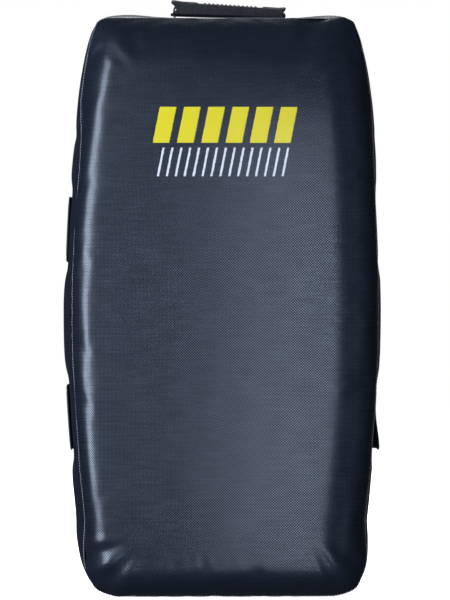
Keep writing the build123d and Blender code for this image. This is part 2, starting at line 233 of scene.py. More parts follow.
def set_points(piece, points):
    """Move the piece's vertices."""
    piece.data.vertices.foreach_set("co", np.asarray(points, dtype=float).ravel())
    piece.data.update()


def get_normals(piece):
    """The piece's vertex normals as an array."""
    flat = np.empty(3 * len(piece.data.vertices))
    piece.data.vertex_normals.foreach_get("vector", flat)
    return flat.reshape(-1, 3)


def join_parts(parts):
    """Join pieces into the first one."""
    deselect_all()
    for part in parts:
        part.select_set(True)
    bpy.context.view_layer.objects.active = parts[0]
    bpy.ops.object.join()
    return bpy.context.object


def add_mesh(name, points, faces):
    """A new piece from points and faces."""
    new_mesh = bpy.data.meshes.new(name)
    new_mesh.from_pydata(points.reshape(-1, 3).tolist(), [], faces)
    piece = bpy.data.objects.new(name, new_mesh)
    scene.collection.objects.link(piece)
    return piece


def round_off(piece):
    """Subdivide a piece once for smooth edges."""
    return apply_modifier(piece, "SUBSURF", levels=1, render_levels=1)


def unit_vectors(vectors):
    """Rows of vectors, each with the length 1."""
    return vectors / np.maximum(np.linalg.norm(vectors, axis=1, keepdims=True), TINY)


def length_along(line):
    """The length from a line's start to each of its points."""
    return np.concatenate([[0], np.cumsum(np.linalg.norm(np.diff(line, axis=0), axis=1))])


def cut_along(axis, cuts):
    """In edit mode, cut every edge that runs along an axis."""
    mesh = bmesh.from_edit_mesh(bpy.context.object.data)
    bpy.ops.mesh.select_all(action="DESELECT")
    for edge in mesh.edges:
        run = edge.verts[1].co - edge.verts[0].co
        if abs(run[axis]) > 0.999 * run.length:
            edge.select_set(True)
    bmesh.update_edit_mesh(bpy.context.object.data)
    bpy.ops.mesh.subdivide(number_cuts=cuts)


def choose(kind, rule):
    """In edit mode, select the faces or edges that a rule picks."""
    mesh = bmesh.from_edit_mesh(bpy.context.object.data)
    for item in mesh.faces if kind == "FACE" else mesh.edges:
        item.select_set(rule(item))
    bmesh.update_edit_mesh(bpy.context.object.data)


def smooth_step(value, low, high):
    """0 below low, 1 above high, and a soft rise between."""
    share = np.clip((np.asarray(value, dtype=float) - low) / (high - low), 0, 1)
    return share * share * (3 - 2 * share)


# %% Cut a cube into panels
columns, rows, layers = 56, 100, 20


def start_piece(name, add_primitive, **settings):
    """A primitive with a name."""
    deselect_all()
    add_primitive(**settings)
    bpy.context.object.name = name
    return bpy.context.object


def cut_cube(name, counts):
    """A cube from -1 to 1, each side cut into a number of panels."""
    piece = start_piece(name, bpy.ops.mesh.primitive_cube_add, size=2)
    bpy.ops.object.mode_set(mode="EDIT")
    for axis, count in enumerate(counts):
        cut_along(axis, count - 1)
    bpy.ops.object.mode_set(mode="OBJECT")
    return piece


skin = cut_cube("skin", (columns, layers, rows))
print("skin panels:", len(skin.data.polygons))

# %% [markdown]
# The outline is the same at every depth, so a point of the cube is placed in two steps: its column
# and row give its place on the outline, and its layer gives its depth. The rows next to the corners
# bend round with them.

# %% Place rows and columns on the barrel outline
slot_half = 6 * mm
zip_height = 95 * mm
edge_steps = [0, 2.2, 5.0, 9.0, 14.0]


def spread(count, length, first=edge_steps):
    """Distances along a side, close together at both ends and even between."""
    ends = np.array(first) * mm
    middle = np.linspace(ends[-1], length - ends[-1], count + 1 - 2 * (len(ends) - 1))
    return np.concatenate([ends[:-1], middle, (length - ends[:-1])[::-1]])


def corner_half_width(z, inset=0.0):
    """Half the outline's width at a height, round the corners too."""
    wide = half_width(z) - inset
    low, high = corner_radius["low"] - inset / 2, corner_radius["high"] - inset / 2
    from_low = np.clip(low - (z - inset), 0, low)
    from_high = np.clip(high - (body_height - inset - z), 0, high)
    wide = wide - low + np.sqrt(np.maximum(low**2 - from_low**2, 0))
    return wide - high + np.sqrt(np.maximum(high**2 - from_high**2, 0))


def end_gap(x, corner, inset=0.0):
    """How far the outline lies from the top or the bottom, which its corners round off."""
    radius = corner_radius[corner] - inset / 2
    over = np.clip(np.abs(x) - (half_width(radius) - inset - radius), 0, radius)
    return inset + radius - np.sqrt(radius**2 - over**2)


def place_on_outline(across, up, inset=0.0):
    """World x and z for cube positions from -1 to 1."""
    arc_middle = 1 - sqrt(0.5)
    z_low = inset + arc_middle * (corner_radius["low"] - inset / 2)
    z_high = body_height - inset - arc_middle * (corner_radius["high"] - inset / 2)
    heights = z_low + spread(rows, z_high - z_low)
    near_zip = np.argmin(np.abs(heights - (zip_height - slot_half)))
    heights[near_zip : near_zip + 3] = zip_height + slot_half * np.array([-1, 0, 1])
    heights[near_zip + 3] = (heights[near_zip + 2] + heights[near_zip + 4]) / 2
    heights[np.argmin(np.abs(heights - gusset_join))] = gusset_join
    z = np.interp((up + 1) / 2 * rows, np.arange(rows + 1), heights)
    share = spread(columns, 1.0, np.array(edge_steps) / (body_width / mm) / mm) * 2 - 1
    x = np.interp((across + 1) / 2 * columns, np.arange(columns + 1), share)
    x = x * corner_half_width(z, inset)
    reach = 70 * mm
    bend_low = np.clip(1 - (z - z_low) / reach, 0, 1) ** 2
    bend_high = np.clip(1 - (z_high - z) / reach, 0, 1) ** 2
    z_out = z + bend_low * (end_gap(x, "low", inset) - z_low)
    return x, z_out + bend_high * (body_height - end_gap(x, "high", inset) - z_high)


cube = get_points(skin)
skin_x, skin_z = place_on_outline(cube[:, 0], cube[:, 2])
column = np.rint((cube[:, 0] + 1) / 2 * columns).astype(int)
row = np.rint((cube[:, 2] + 1) / 2 * rows).astype(int)
layer = np.rint((cube[:, 1] + 1) / 2 * layers).astype(int)
on_rim = (column == 0) | (column == columns) | (row == 0) | (row == rows)
on_front, on_back = layer == 0, layer == layers
print(f"skin x {skin_x.min():.3f} to {skin_x.max():.3f}, z {skin_z.min():.3f} to {skin_z.max():.3f}")

# %% [markdown]
# The front is crowned: it rises from its seam in a roll and then stays nearly flat, because the
# foam under it is a flat block with worked edges. How far it has risen depends on the distance to
# the seam. The roll is tight on the left and at the bottom and softer on the right and at the top,
# where the face also slopes away.

# %% Raise the crown
rim = np.stack([skin_x, skin_z], axis=1)[on_rim & on_front]
roll_left, roll_gain, roll_top, roll_base = 36 * mm, 20 * mm, 58 * mm, 35 * mm
roll_power = 1.55


def seam_distance(x, z):
    """The distance from each point of the front to its seam."""
    nearest = np.full(len(x), 1.0)
    for start in range(0, len(x), 2000):
        part = slice(start, start + 2000)
        gap = np.hypot(x[part, None] - rim[None, :, 0], z[part, None] - rim[None, :, 1])
        nearest[part] = gap.min(axis=1)
    return nearest


def crown_rise(x, z, distance):
    """How far the front stands forward of its seam."""
    side_gap = half_width(z) - np.abs(x)
    by_top = smooth_step(side_gap - (body_height - z), -0.03, 0.03)
    by_base = smooth_step(side_gap - z, -0.03, 0.03)
    roll = roll_left + roll_gain * smooth_step(x, -0.08, 0.08)
    roll += by_top * (roll_top - roll)
    roll += by_base * (roll_base - roll)
    share = np.clip(distance / roll, 0, 1)
    rise = (crown_height - cross_crown) * (1 - (1 - share) ** roll_power) ** (1 / roll_power)
    cross = 1 - (x / half_width(z)) ** 2
    slope_top = 9 * mm * smooth_step(z, 0.56, 0.72) ** 1.5
    slope_low = 3 * mm * (1 - smooth_step(z, 0, 0.10))
    return rise * (1 - (slope_top + slope_low) / crown_height) + cross_crown * cross * share * (2 - share)


distance = np.zeros(len(cube))
distance[on_front] = seam_distance(skin_x[on_front], skin_z[on_front])
layer_places = spread(layers, 2 * half_depth, [0, 2.2, 5.0, 9.0]) - half_depth
depth = layer_places[layer]
skin_y = depth - bow(skin_z)
skin_y[on_front] -= crown_rise(skin_x, skin_z, distance)[on_front]
points = np.stack([skin_x, skin_y, skin_z], axis=1)

# %% [markdown]
# The seams pull in and the side wall swells out between them. Where a strap is sewn on, it holds
# the wall flat. The outline's outward direction is found from the rim itself.

# %% Pull the seams in, let the side wall swell
strap_zones = [
    (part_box(f"{which}_strap_tab")[0][2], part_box(f"{which}_strap_tab")[1][2])
    for which in ("lower", "upper")
]
hold_edge, hold_fade = 0.004, 0.022
side_zone, top_zone = 0.045, 0.04


def strap_hold(z):
    """1 where a strap holds the side wall flat, 0 elsewhere."""
    hold = np.zeros_like(z)
    for low, high in strap_zones:
        below = smooth_step(z, low - hold_fade, low + hold_edge)
        above = smooth_step(z, high - hold_edge, high + hold_fade)
        hold = np.maximum(hold, below * (1 - above))
    return hold


def outward(x, z):
    """The outline's outward direction, in the plane of x and z."""
    side = np.clip((np.abs(x) - (half_width(z) - side_zone)) / side_zone, 0, 1)
    base = np.clip((side_zone - z) / side_zone, 0, 1)
    end = np.maximum(base, np.clip((z - body_height + top_zone) / top_zone, 0, 1))
    direction = np.stack([np.sign(x) * side, np.where(z > mid_height, 1, -1) * end], axis=1)
    return unit_vectors(direction)


out = outward(skin_x, skin_z)
at_seam = np.clip(1 - (half_depth - np.abs(depth)) / (15 * mm), 0, 1) ** 1.4
wall_share = 1 - (depth / half_depth) ** 2
side_pull = np.where(skin_x < 0, 7.5 * mm, 1.5 * mm) * smooth_step(np.abs(skin_x), 0, 0.1)
pull_in = 3 * mm + side_pull * (1 - smooth_step(skin_z, 0.50, 0.62)) * smooth_step(skin_z, 0.01, 0.10)
long_side = smooth_step(skin_z, 0.05, 0.12) * (1 - smooth_step(skin_z, 0.55, 0.60))
wall_start = -2.5 * mm - long_side * np.where(skin_x < 0, 2.8 * mm, 1.6 * mm)
wall_start -= 0.6 * mm * strap_hold(skin_z)
swell = wall_start + 1.5 * mm * wall_share * (1 - strap_hold(skin_z))
on_top = smooth_step(skin_z, body_height - 0.02, body_height - 0.001)
ears = np.exp(-(((np.abs(skin_x - 0.006) - 0.125) / 0.03) ** 2))
swell = swell * (1 - on_top) + on_top * (5.5 * mm * ears * wall_share - 0.3 * mm)
shift = np.where(on_rim, swell - (pull_in - 2 * mm) * at_seam, 0)
points[:, 0] += out[:, 0] * shift
points[:, 2] += out[:, 1] * shift * np.where(skin_z < mid_height, 0.5, 1)
front_inner = on_front & ~on_rim
ease = np.where(front_inner, np.clip(1 - distance / (30 * mm), 0, 1) ** 2, 0)
points[:, 0] -= out[:, 0] * pull_in * ease
points[:, 2] -= out[:, 1] * pull_in * ease * np.where(skin_z < mid_height, 0.5, 1)
wider = 7 * mm * (1 - smooth_step(skin_z, 0.03, 0.10)) * smooth_step(skin_z, -0.002, 0.012)
points[:, 0] += points[:, 0] / half_width(skin_z) * wider
points[:, 0] += 4 * mm * smooth_step(skin_z, 0.42, 0.60) + 4.5 * mm * (1 - smooth_step(skin_z, 0, 0.10))
set_points(skin, points)
print(f"wall swells {swell.max() / mm:.1f} mm, seams pull in {pull_in.max() / mm:.1f} mm")

# %% [markdown]
# Stuffing gives fabric its full look, and a cloth simulation does what stuffing does. The seams and
# the places where straps and patches are sewn on are pinned. A little extra fabric makes it pucker
# along the seams. The movement is capped, so that the cover stays by its foam.

# %% Stuff the cover


def pin_strength():
    """1 where a point is sewn down, less where it may move."""
    strength = np.zeros(len(points))
    seam = (np.abs(depth) > half_depth - TINY) & on_rim
    strength[seam] = 1
    near_seam = on_rim & ~seam & (np.abs(depth) > half_depth - 4 * mm)
    strength[near_seam] = 0.6
    strength[on_back & ~on_rim] = 1
    strength[on_rim] = np.maximum(strength[on_rim], strap_hold(skin_z)[on_rim])
    join = on_rim & (np.abs(skin_z - gusset_join) < 1 * mm)
    strength[join] = np.maximum(strength[join], 0.8)
    under_grip = on_rim & (skin_z > body_height - 1 * mm) & (np.abs(skin_x - 0.01) < 0.07)
    strength[under_grip] = 1
    strength[front_inner] = 0.75 * smooth_step(distance[front_inner], 8 * mm, 80 * mm)
    return strength


def stuff(piece, strength, cap, frames, pressure, slack):
    """Run Cloth with pressure on a copy and bring back the capped movement."""
    start = get_points(piece)
    deselect_all()
    copy = piece.copy()
    copy.data = piece.data.copy()
    scene.collection.objects.link(copy)
    pick(copy)
    group = copy.vertex_groups.new(name="sewn")
    for index, value in enumerate(strength):
        if value > 0:
            group.add([index], float(value), "REPLACE")
    cloth = copy.modifiers.new("stuffing", "CLOTH")
    cloth.settings.use_pressure = True
    cloth.settings.uniform_pressure_force = pressure
    cloth.settings.effector_weights.gravity = 0
    cloth.settings.tension_stiffness = cloth.settings.compression_stiffness = 30
    cloth.settings.bending_stiffness = 0.8
    cloth.settings.mass = 0.3
    cloth.settings.shrink_min = -slack
    cloth.settings.vertex_group_mass = "sewn"
    cloth.settings.pin_stiffness = 2
    cloth.collision_settings.use_collision = False
    cloth.point_cache.frame_start = 1
    cloth.point_cache.frame_end = frames
    for frame_number in range(1, frames + 1):
        scene.frame_set(frame_number)
    swollen = copy.evaluated_get(bpy.context.evaluated_depsgraph_get())
    end = get_points(swollen)
    scene.frame_set(1)
    bpy.data.objects.remove(copy)
    move = end - start
    length = np.linalg.norm(move, axis=1)
    limit = cap * (1 - strength)
    move *= (np.minimum(length, limit) / np.maximum(length, TINY))[:, None]
    set_points(piece, start + move)
    return length


moved = stuff(skin, pin_strength(), cap=3.5 * mm, frames=16, pressure=4.0, slack=0.005)
print(f"stuffing moved points by up to {moved.max() / mm:.1f} mm, mean {moved.mean() / mm:.1f} mm")

# %% [markdown]
# Each face is given the number of its panel. The weave follows the fabric, so the skin gets a UV map
# in metres, measured along its rows and columns, as a tape measure laid on the cloth would read.

# %% Number the panels
panel_names = ["front_cover", "gusset_upper_cover", "gusset_lower_cover"]
panel_names += ["back_upper_cover", "back_lower_cover"]
mesh = skin.data
face_corners = np.empty(4 * len(mesh.polygons), dtype=int)
mesh.polygons.foreach_get("vertices", face_corners)
face_corners = face_corners.reshape(-1, 4)
face_cube = cube[face_corners].mean(axis=1)
face_z = skin_z[face_corners].mean(axis=1)
face_x = skin_x[face_corners].mean(axis=1)
front_faces = face_cube[:, 1] < -1 + TINY
back_faces = face_cube[:, 1] > 1 - TINY
panel = np.where(face_z > gusset_join, 1, 2)
panel[front_faces] = 0
panel[back_faces] = np.where(face_z > zip_height, 3, 4)[back_faces]
zip_half = (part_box("zip_tape_upper")[1][0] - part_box("zip_tape_upper")[0][0]) / 2 - 8 * mm
in_slot = back_faces & (np.abs(face_x) < zip_half) & (np.abs(face_z - zip_height) < slot_half)
panel[in_slot] = 5
mesh.polygons.foreach_set("material_index", panel.astype(np.int32))
mesh.attributes.new("panel", "INT", "FACE").data.foreach_set("value", panel.astype(np.int32))
print({name: int((panel == n).sum()) for n, name in enumerate(panel_names)}, "slot", int(in_slot.sum()))


# %% Measure the cloth
def tape_measure(key, step_order):
    """Lengths along lines of points that share a key, from each line's middle."""
    reading = np.zeros(len(cube))
    for value in np.unique(key[key >= 0]):
        line = np.flatnonzero(key == value)
        line = line[np.argsort(step_order[line])]
        length = length_along(placed[line])
        reading[line] = length - np.interp(0, step_order[line], length)
    return reading


placed = get_points(skin)
face_reading = {}
for label, chosen in (("front", on_front), ("back", on_back)):
    across = tape_measure(np.where(chosen, row, -1), cube[:, 0])
    upwards = tape_measure(np.where(chosen, column, -1), cube[:, 2])
    face_reading[label] = np.stack([across, upwards], axis=1)
wall_reading = np.stack([depth, skin_z], axis=1)
corner_points = face_corners.ravel()
corner_panel = np.repeat(panel, 4)
uv = wall_reading[corner_points]
uv[corner_panel == 0] = face_reading["front"][corner_points][corner_panel == 0]
uv[corner_panel >= 3] = face_reading["back"][corner_points][corner_panel >= 3]
top_or_bottom = np.repeat(np.abs(face_cube[:, 2]) > 1 - TINY, 4)
end_corners = top_or_bottom & ((corner_panel == 1) | (corner_panel == 2))
uv[end_corners, 1] = 1.0 + skin_x[corner_points][end_corners]
uv_map = mesh.uv_layers.new(name="cloth")
uv_map.data.foreach_set("uv", uv.ravel())
print("cloth measured:", mesh.uv_layers[0].name)

# %% Cut the skin into its panels
def rim_line(chosen):
    """A ring of points in order round the outline."""
    line = np.flatnonzero(on_rim & chosen)
    order = np.argsort(np.arctan2(skin_x[line], skin_z[line] - mid_height))
    return placed[line[order]]


front_ring, back_ring = rim_line(layer == 1), rim_line(layer == layers - 1)
for _ in range(6):
    mesh.materials.append(None)
pick(skin)
bpy.ops.object.mode_set(mode="EDIT")
bpy.ops.mesh.select_all(action="SELECT")
bpy.ops.mesh.separate(type="MATERIAL")
bpy.ops.object.mode_set(mode="OBJECT")
covers = {}
for piece in [o for o in scene.objects if o.name.startswith("skin")]:
    number = piece.data.attributes["panel"].data[0].value
    if number == 5:
        bpy.data.objects.remove(piece)
        continue
    piece.name = panel_names[number]
    piece.data.name = panel_names[number]
    covers[panel_names[number]] = piece
print("panels:", ", ".join(sorted(covers)))

# %% [markdown]
# A material is a small net of nodes. These helpers add a node, set its inputs and link them, so that
# each finish below reads as a short recipe. Patterns on cloth read the cloth's own UV map, in
# metres. Patterns on hard parts read Object coordinates.

# %% Helpers for materials
def add_node(tree, kind, inputs=None, **settings):
    """Add a node, set its properties, and set or link its inputs."""
    node = tree.nodes.new("ShaderNode" + kind)
    for key, value in settings.items():
        setattr(node, key, value)
    for key, value in (inputs or {}).items():
        if isinstance(value, bpy.types.NodeSocket):
            tree.links.new(value, node.inputs[key])
        else:
            node.inputs[key].default_value = value
    return node


def calc(tree, operation, first, second=None, third=None, clamp=False):
    """The output of one Math node."""
    inputs = {n: v for n, v in enumerate((first, second, third)) if v is not None}
    return add_node(tree, "Math", inputs, operation=operation, use_clamp=clamp).outputs[0]


def start_material(name, roughness=0.5, **shader_values):
    """A new material with its tree and its shader."""
    material = bpy.data.materials.new(name)
    material.use_nodes = True
    tree = material.node_tree
    shader = tree.nodes["Principled BSDF"]
    shader.inputs["Roughness"].default_value = roughness
    for key, value in shader_values.items():
        shader.inputs[key.replace("_", " ")].default_value = value
    return material, tree, shader


def place_of(tree, source="UV"):
    """A pattern's coordinates, whole and split in three."""
    if source == "UV":
        whole = add_node(tree, "UVMap", uv_map="cloth").outputs["UV"]
    else:
        whole = add_node(tree, "TexCoord").outputs["Object"]
    split = add_node(tree, "SeparateXYZ", {0: whole})
    return whole, split.outputs[0], split.outputs[1], split.outputs[2]


def noise(tree, vector, scale, detail=3.0, stretch=(1, 1, 1), roughness=0.5):
    """A noise from 0 to 1 whose size is 1/scale metres."""
    mapping = add_node(tree, "Mapping", {"Vector": vector, "Scale": stretch})
    inputs = {"Vector": mapping.outputs[0], "Scale": scale, "Detail": detail, "Roughness": roughness}
    return add_node(tree, "TexNoise", inputs).outputs["Fac"]


def wave(tree, value, period, phase=0.0):
    """A sine along a coordinate, from -1 to 1."""
    turned = calc(tree, "MULTIPLY_ADD", value, 2 * pi / period, phase)
    return calc(tree, "SINE", turned)


def between(tree, value, low, high):
    """Carry a value from low..high to 0..1, held at both ends."""
    inputs = {"Value": value, "From Min": low, "From Max": high}
    return add_node(tree, "MapRange", inputs).outputs[0]


def ranged(tree, value, low, high):
    """Carry a value from 0..1 to low..high."""
    inputs = {"Value": value, "To Min": low, "To Max": high}
    return add_node(tree, "MapRange", inputs).outputs[0]


def mix_colours(tree, share, first, second):
    """A mix of two colours."""
    node = tree.nodes.new("ShaderNodeMix")
    node.data_type = "RGBA"
    for socket, value in ((node.inputs[0], share), (node.inputs[6], first), (node.inputs[7], second)):
        if isinstance(value, bpy.types.NodeSocket):
            tree.links.new(value, socket)
        else:
            socket.default_value = value if socket == node.inputs[0] else (*value, 1)
    return node.outputs[2]


def tint(tree, shader, colour, *patterns):
    """Colour the shader, made darker or lighter by patterns that each have a range."""
    tone = 1.0
    for pattern, low, high in patterns:
        tone = calc(tree, "MULTIPLY", tone, ranged(tree, pattern, low, high))
    tree.links.new(mix_colours(tree, tone, (0, 0, 0), colour), shader.inputs["Base Color"])


def bump(tree, shader, height, depth, strength=1.0, under=None):
    """Raise the surface by a height pattern, over an earlier bump if there is one."""
    inputs = {"Height": height, "Distance": depth, "Strength": strength}
    if under is not None:
        inputs["Normal"] = under
    node = add_node(tree, "Bump", inputs)
    tree.links.new(node.outputs[0], shader.inputs["Normal"])
    return node.outputs[0]


# %% [markdown]
# ## The coated cover fabric
# The cover is tarpaulin: a plain weave of flat yarns under a smooth plastic coat. Each crossing of
# yarns shows as a small cushion, so two sines multiplied make its relief. Flat yarns differ a
# little, which gives faint streaks across. The coat is glossier on the cushions than between them,
# and handling leaves soft scuffs.

# %% Tarpaulin
yarn_pitch = 3.2 * mm


def make_tarpaulin(name, colour, roughness=0.33, graphic=None):
    """Coated plain weave that follows the cloth."""
    material, tree, shader = start_material(name, roughness, Specular_Tint=(0.84, 0.93, 1, 1))
    whole, u, v, _ = place_of(tree)
    weave = calc(tree, "MULTIPLY", wave(tree, u, yarn_pitch), wave(tree, v, yarn_pitch))
    weave = calc(tree, "MULTIPLY_ADD", weave, 0.9, 0.5, clamp=True)
    streaks = noise(tree, whole, 1.0, 2.0, (26, 460, 1))
    cross_streaks = noise(tree, whole, 1.0, 2.0, (460, 26, 1))
    scuffs = noise(tree, whole, 26.0, 6.0, roughness=0.65)
    # Painted light and shade: the weave makes the base colour darker in its hollows and lighter on its
    # cushions. The streaks and scuffs then vary the tone.
    shade = calc(tree, "MULTIPLY_ADD", weave, 1.1, 0.40)
    shade = calc(tree, "MULTIPLY", shade, ranged(tree, streaks, 0.62, 1.38))
    tone = calc(tree, "MULTIPLY", shade, ranged(tree, scuffs, 0.88, 1.12))
    base = mix_colours(tree, tone, (0, 0, 0), colour)
    if graphic:
        for mask, ink in graphic(tree):
            base = mix_colours(tree, mask, base, ink)
    tree.links.new(base, shader.inputs["Base Color"])
    gloss = calc(tree, "MULTIPLY_ADD", weave, -0.20, roughness + 0.10)
    sparkle = calc(tree, "MULTIPLY", ranged(tree, weave, 0.10, 0.74), ranged(tree, streaks, 0.5, 1.5))
    tree.links.new(sparkle, shader.inputs["Specular IOR Level"])
    gloss = calc(tree, "ADD", gloss, ranged(tree, scuffs, -0.05, 0.07))
    tree.links.new(gloss, shader.inputs["Roughness"])
    relief = calc(tree, "ADD", weave, calc(tree, "MULTIPLY", streaks, 0.25))
    relief = calc(tree, "ADD", relief, calc(tree, "MULTIPLY", cross_streaks, 0.25))
    first = bump(tree, shader, relief, 0.10 * mm, 0.5)
    bump(tree, shader, noise(tree, whole, 70.0, 4.0), 0.4 * mm, 0.2, first)
    return material


# %% [markdown]
# The print on the front is a plain graphic: a row of leaning yellow bars with a thin white hatch
# under it. It is ink on the coat, so only the colour changes, and the weave still shows.

# %% The printed graphic
bar_low, bar_high = 546 * mm, 589 * mm
hatch_low, hatch_high = 506 * mm, 540 * mm
graphic_left, graphic_right = -80 * mm, 90 * mm
graphic_lean = 0.2


def leaning_bars(tree, u, v, low, high, pitch, share, ends):
    """A mask of leaning bars between two heights and two ends."""
    middle = (low + high) / 2
    lean = calc(tree, "MULTIPLY_ADD", v, -graphic_lean, graphic_lean * middle)
    along = calc(tree, "ADD", u, lean)
    turn = calc(tree, "FRACT", calc(tree, "DIVIDE", calc(tree, "SUBTRACT", along, ends[0]), pitch))
    mask = between(tree, turn, share + 0.02, share - 0.02)
    for value, edge, way in ((v, low, 1), (v, high, -1), (along, ends[0], 1), (along, ends[1], -1)):
        soft = 0.25 * mm * way
        mask = calc(tree, "MULTIPLY", mask, between(tree, value, edge - soft, edge + soft))
    return mask


def draw_graphic(tree):
    """The print's masks and inks."""
    whole, x, _, z = place_of(tree, "Object")
    rough_edge = calc(tree, "MULTIPLY_ADD", noise(tree, whole, 380.0, 2.0), 1.6 * mm, -0.8 * mm)
    x = calc(tree, "ADD", x, rough_edge)
    ends = (graphic_left, graphic_right)
    hatch_ends = (graphic_left + 4 * mm, graphic_left + 160 * mm)
    bars = leaning_bars(tree, x, z, bar_low, bar_high, 28.9 * mm, 0.68, ends)
    hatch = leaning_bars(tree, x, z, hatch_low, hatch_high, 10.6 * mm, 0.24, hatch_ends)
    return ((bars, (0.40, 0.342, 0.003)), (hatch, (0.40, 0.41, 0.43)))


tarpaulin_colour = (0.0062, 0.0088, 0.0150)
front_tarpaulin = make_tarpaulin("front_tarpaulin", tarpaulin_colour, graphic=draw_graphic)
tarpaulin = make_tarpaulin("tarpaulin", tarpaulin_colour)
print("made", front_tarpaulin.name, "and", tarpaulin.name)

# %% [markdown]
# ## Finishing the five panels
# Each panel is subdivided once for smooth rolls. Where three seams meet at a corner the fabric
# gathers in folds that fan out from the corner, so the front panel's points near its corners are
# pushed along their normals in narrow waves, as a sculpting brush would do it.

# %% Folds at the corners
def fan_folds(piece, centre, aim, spread_angle, count, height, reach, start):
    """Press folds into a panel that fan out from a centre."""
    place = get_points(piece)
    normal = get_normals(piece)
    dx, dz = place[:, 0] - centre[0], place[:, 2] - centre[1]
    radius = np.hypot(dx, dz)
    turn = (np.arctan2(dz, dx) - aim + pi) % (2 * pi) - pi
    inside = np.clip(1 - (turn / spread_angle) ** 2, 0, 1)
    fade = smooth_step(radius, start * 0.3, start) * (1 - smooth_step(radius, start, reach))
    ridge = np.sin(count * turn + 3.0 * radius / reach)
    ridge = np.sign(ridge) * np.abs(ridge) ** 0.8
    place += normal * (height * ridge * inside * fade)[:, None]
    set_points(piece, place)


for name, piece in covers.items():
    apply_modifier(piece, "SUBSURF", levels=1, render_levels=1, boundary_smooth="ALL")
    print(name, len(piece.data.polygons), "faces")
front_cover = covers["front_cover"]
half_low, half_high = half_width(0.03), half_width(0.68)
for centre_x, centre_z, aim, spread_angle, count, height, reach, start in (
    (-half_low + 0.075, 0.085, 222, 40, 12, 2.2, 0.118, 0.07),
    (half_low - 0.075, 0.085, -42, 36, 14, 1.2, 0.112, 0.07),
    (half_high - 0.09, 0.60, 58, 36, 12, 2.2, 0.15, 0.112),
    (-half_high + 0.08, 0.61, 122, 30, 13, 0.7, 0.115, 0.08),
):
    angles = radians(aim), radians(spread_angle)
    fan_folds(front_cover, (centre_x, centre_z), *angles, count, height * mm, reach, start)


# %% Hand the panels over
def finish_piece(piece, body, material, nodes=(), smooth=35):
    """Give a finished piece its material and body, and hide the frame's parts that it stands for."""
    piece.data.materials.clear()
    piece.data.materials.append(material)
    pick(piece)
    bpy.ops.object.shade_smooth_by_angle(angle=radians(smooth))
    for modifier in list(piece.modifiers):
        bpy.ops.object.modifier_apply(modifier=modifier.name)
    if body:
        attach(piece, body)
    if nodes:
        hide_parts(*nodes)
    return piece


cover_nodes = {
    "front_cover": "front_panel",
    "gusset_upper_cover": "gusset_upper",
    "gusset_lower_cover": "gusset_lower",
    "back_upper_cover": "back_panel_upper",
    "back_lower_cover": "back_panel_lower",
}
for name, node in cover_nodes.items():
    material = front_tarpaulin if name == "front_cover" else tarpaulin
    finish_piece(covers[name], "shield", material, [node], smooth=60)
print("panels stand for", ", ".join(cover_nodes.values()))

# %% [markdown]
# ## The filling
# Three layers of foam are glued together inside the cover. They are hidden, but somebody who opens
# the zip sees them, so each is a block of its own, shaped by the same outline, a little smaller.

# %% Foam material
def make_foam(name, colour, cell):
    """Cut foam: open cells and a slightly uneven colour."""
    material, tree, shader = start_material(name, 0.95)
    whole = place_of(tree, "Object")[0]
    cells = add_node(tree, "TexVoronoi", {"Vector": whole, "Scale": 1 / cell}).outputs["Distance"]
    patchy = noise(tree, whole, 18.0, 4.0)
    tint(tree, shader, colour, (cells, 0.55, 1.15), (patchy, 0.8, 1.1))
    bump(tree, shader, cells, 0.6 * mm, 0.8)
    return material


firm_foam = make_foam("firm_foam", (0.10, 0.11, 0.12), 1.4 * mm)
soft_foam = make_foam("soft_foam", (0.62, 0.60, 0.50), 2.2 * mm)

# %% Foam blocks
foam_inset = 20 * mm
rear_foam_thickness = 20 * mm


def make_foam_block(name, front, back, material, crowned=False):
    """One layer of the filling between two depths."""
    block = cut_cube(name, (30, 6, 50))
    spot = get_points(block)
    x, z = place_on_outline(spot[:, 0], spot[:, 2], foam_inset)
    share = (spot[:, 1] + 1) / 2
    front_face = np.full(len(x), front)
    if crowned:
        front_face = front - np.maximum(crown_rise(x, z, seam_distance(x, z)) - 4 * mm, 1 * mm)
    y = front_face + share * (back - front_face) - bow(z)
    set_points(block, np.stack([x, y, z], axis=1))
    finish_piece(block, "shield", material, [name.replace("_block", "")], smooth=50)
    print(f"{name}: y {y.min():.3f} to {y.max():.3f}")
    return block


foam_middle = half_depth - rear_foam_thickness
make_foam_block("impact_foam_block", -half_depth, -half_depth, firm_foam, True)
make_foam_block("core_foam_block", -half_depth + 0.3 * mm, foam_middle, soft_foam)
make_foam_block("rear_foam_block", foam_middle + 0.3 * mm, half_depth - 8 * mm, firm_foam)

# %% [markdown]
# ## Bands, threads and what repeats
# Straps and webbing are flat bands that run along a path. A band is laid by carrying its cross
# section from station to station, so it can taper, and its UV map is the cloth's own length and
# width. Thread and zip teeth are modelled once, from a primitive, and copied along a line.

# %% Lay a band
def band_section(width, thickness, count=16, hem=0.0, dip=0.35, crown=0.0):
    """Half heights across a band: round edges, and a dip where the hem is sewn."""
    across = np.sin(np.linspace(-pi / 2, pi / 2, count + 1)) * 0.25 + np.linspace(-1, 1, count + 1) * 0.75
    across = across * width / 2
    edge = np.clip((width / 2 - np.abs(across)) / (0.9 * thickness), 0, 1)
    height = thickness / 2 * (0.30 + 0.70 * np.sqrt(edge))
    if hem:
        height -= dip * thickness / 2 * np.exp(-(((width / 2 - np.abs(across)) - hem) / (1.3 * mm)) ** 2)
    height += crown * (1 - (2 * across / width) ** 2)
    return across, height


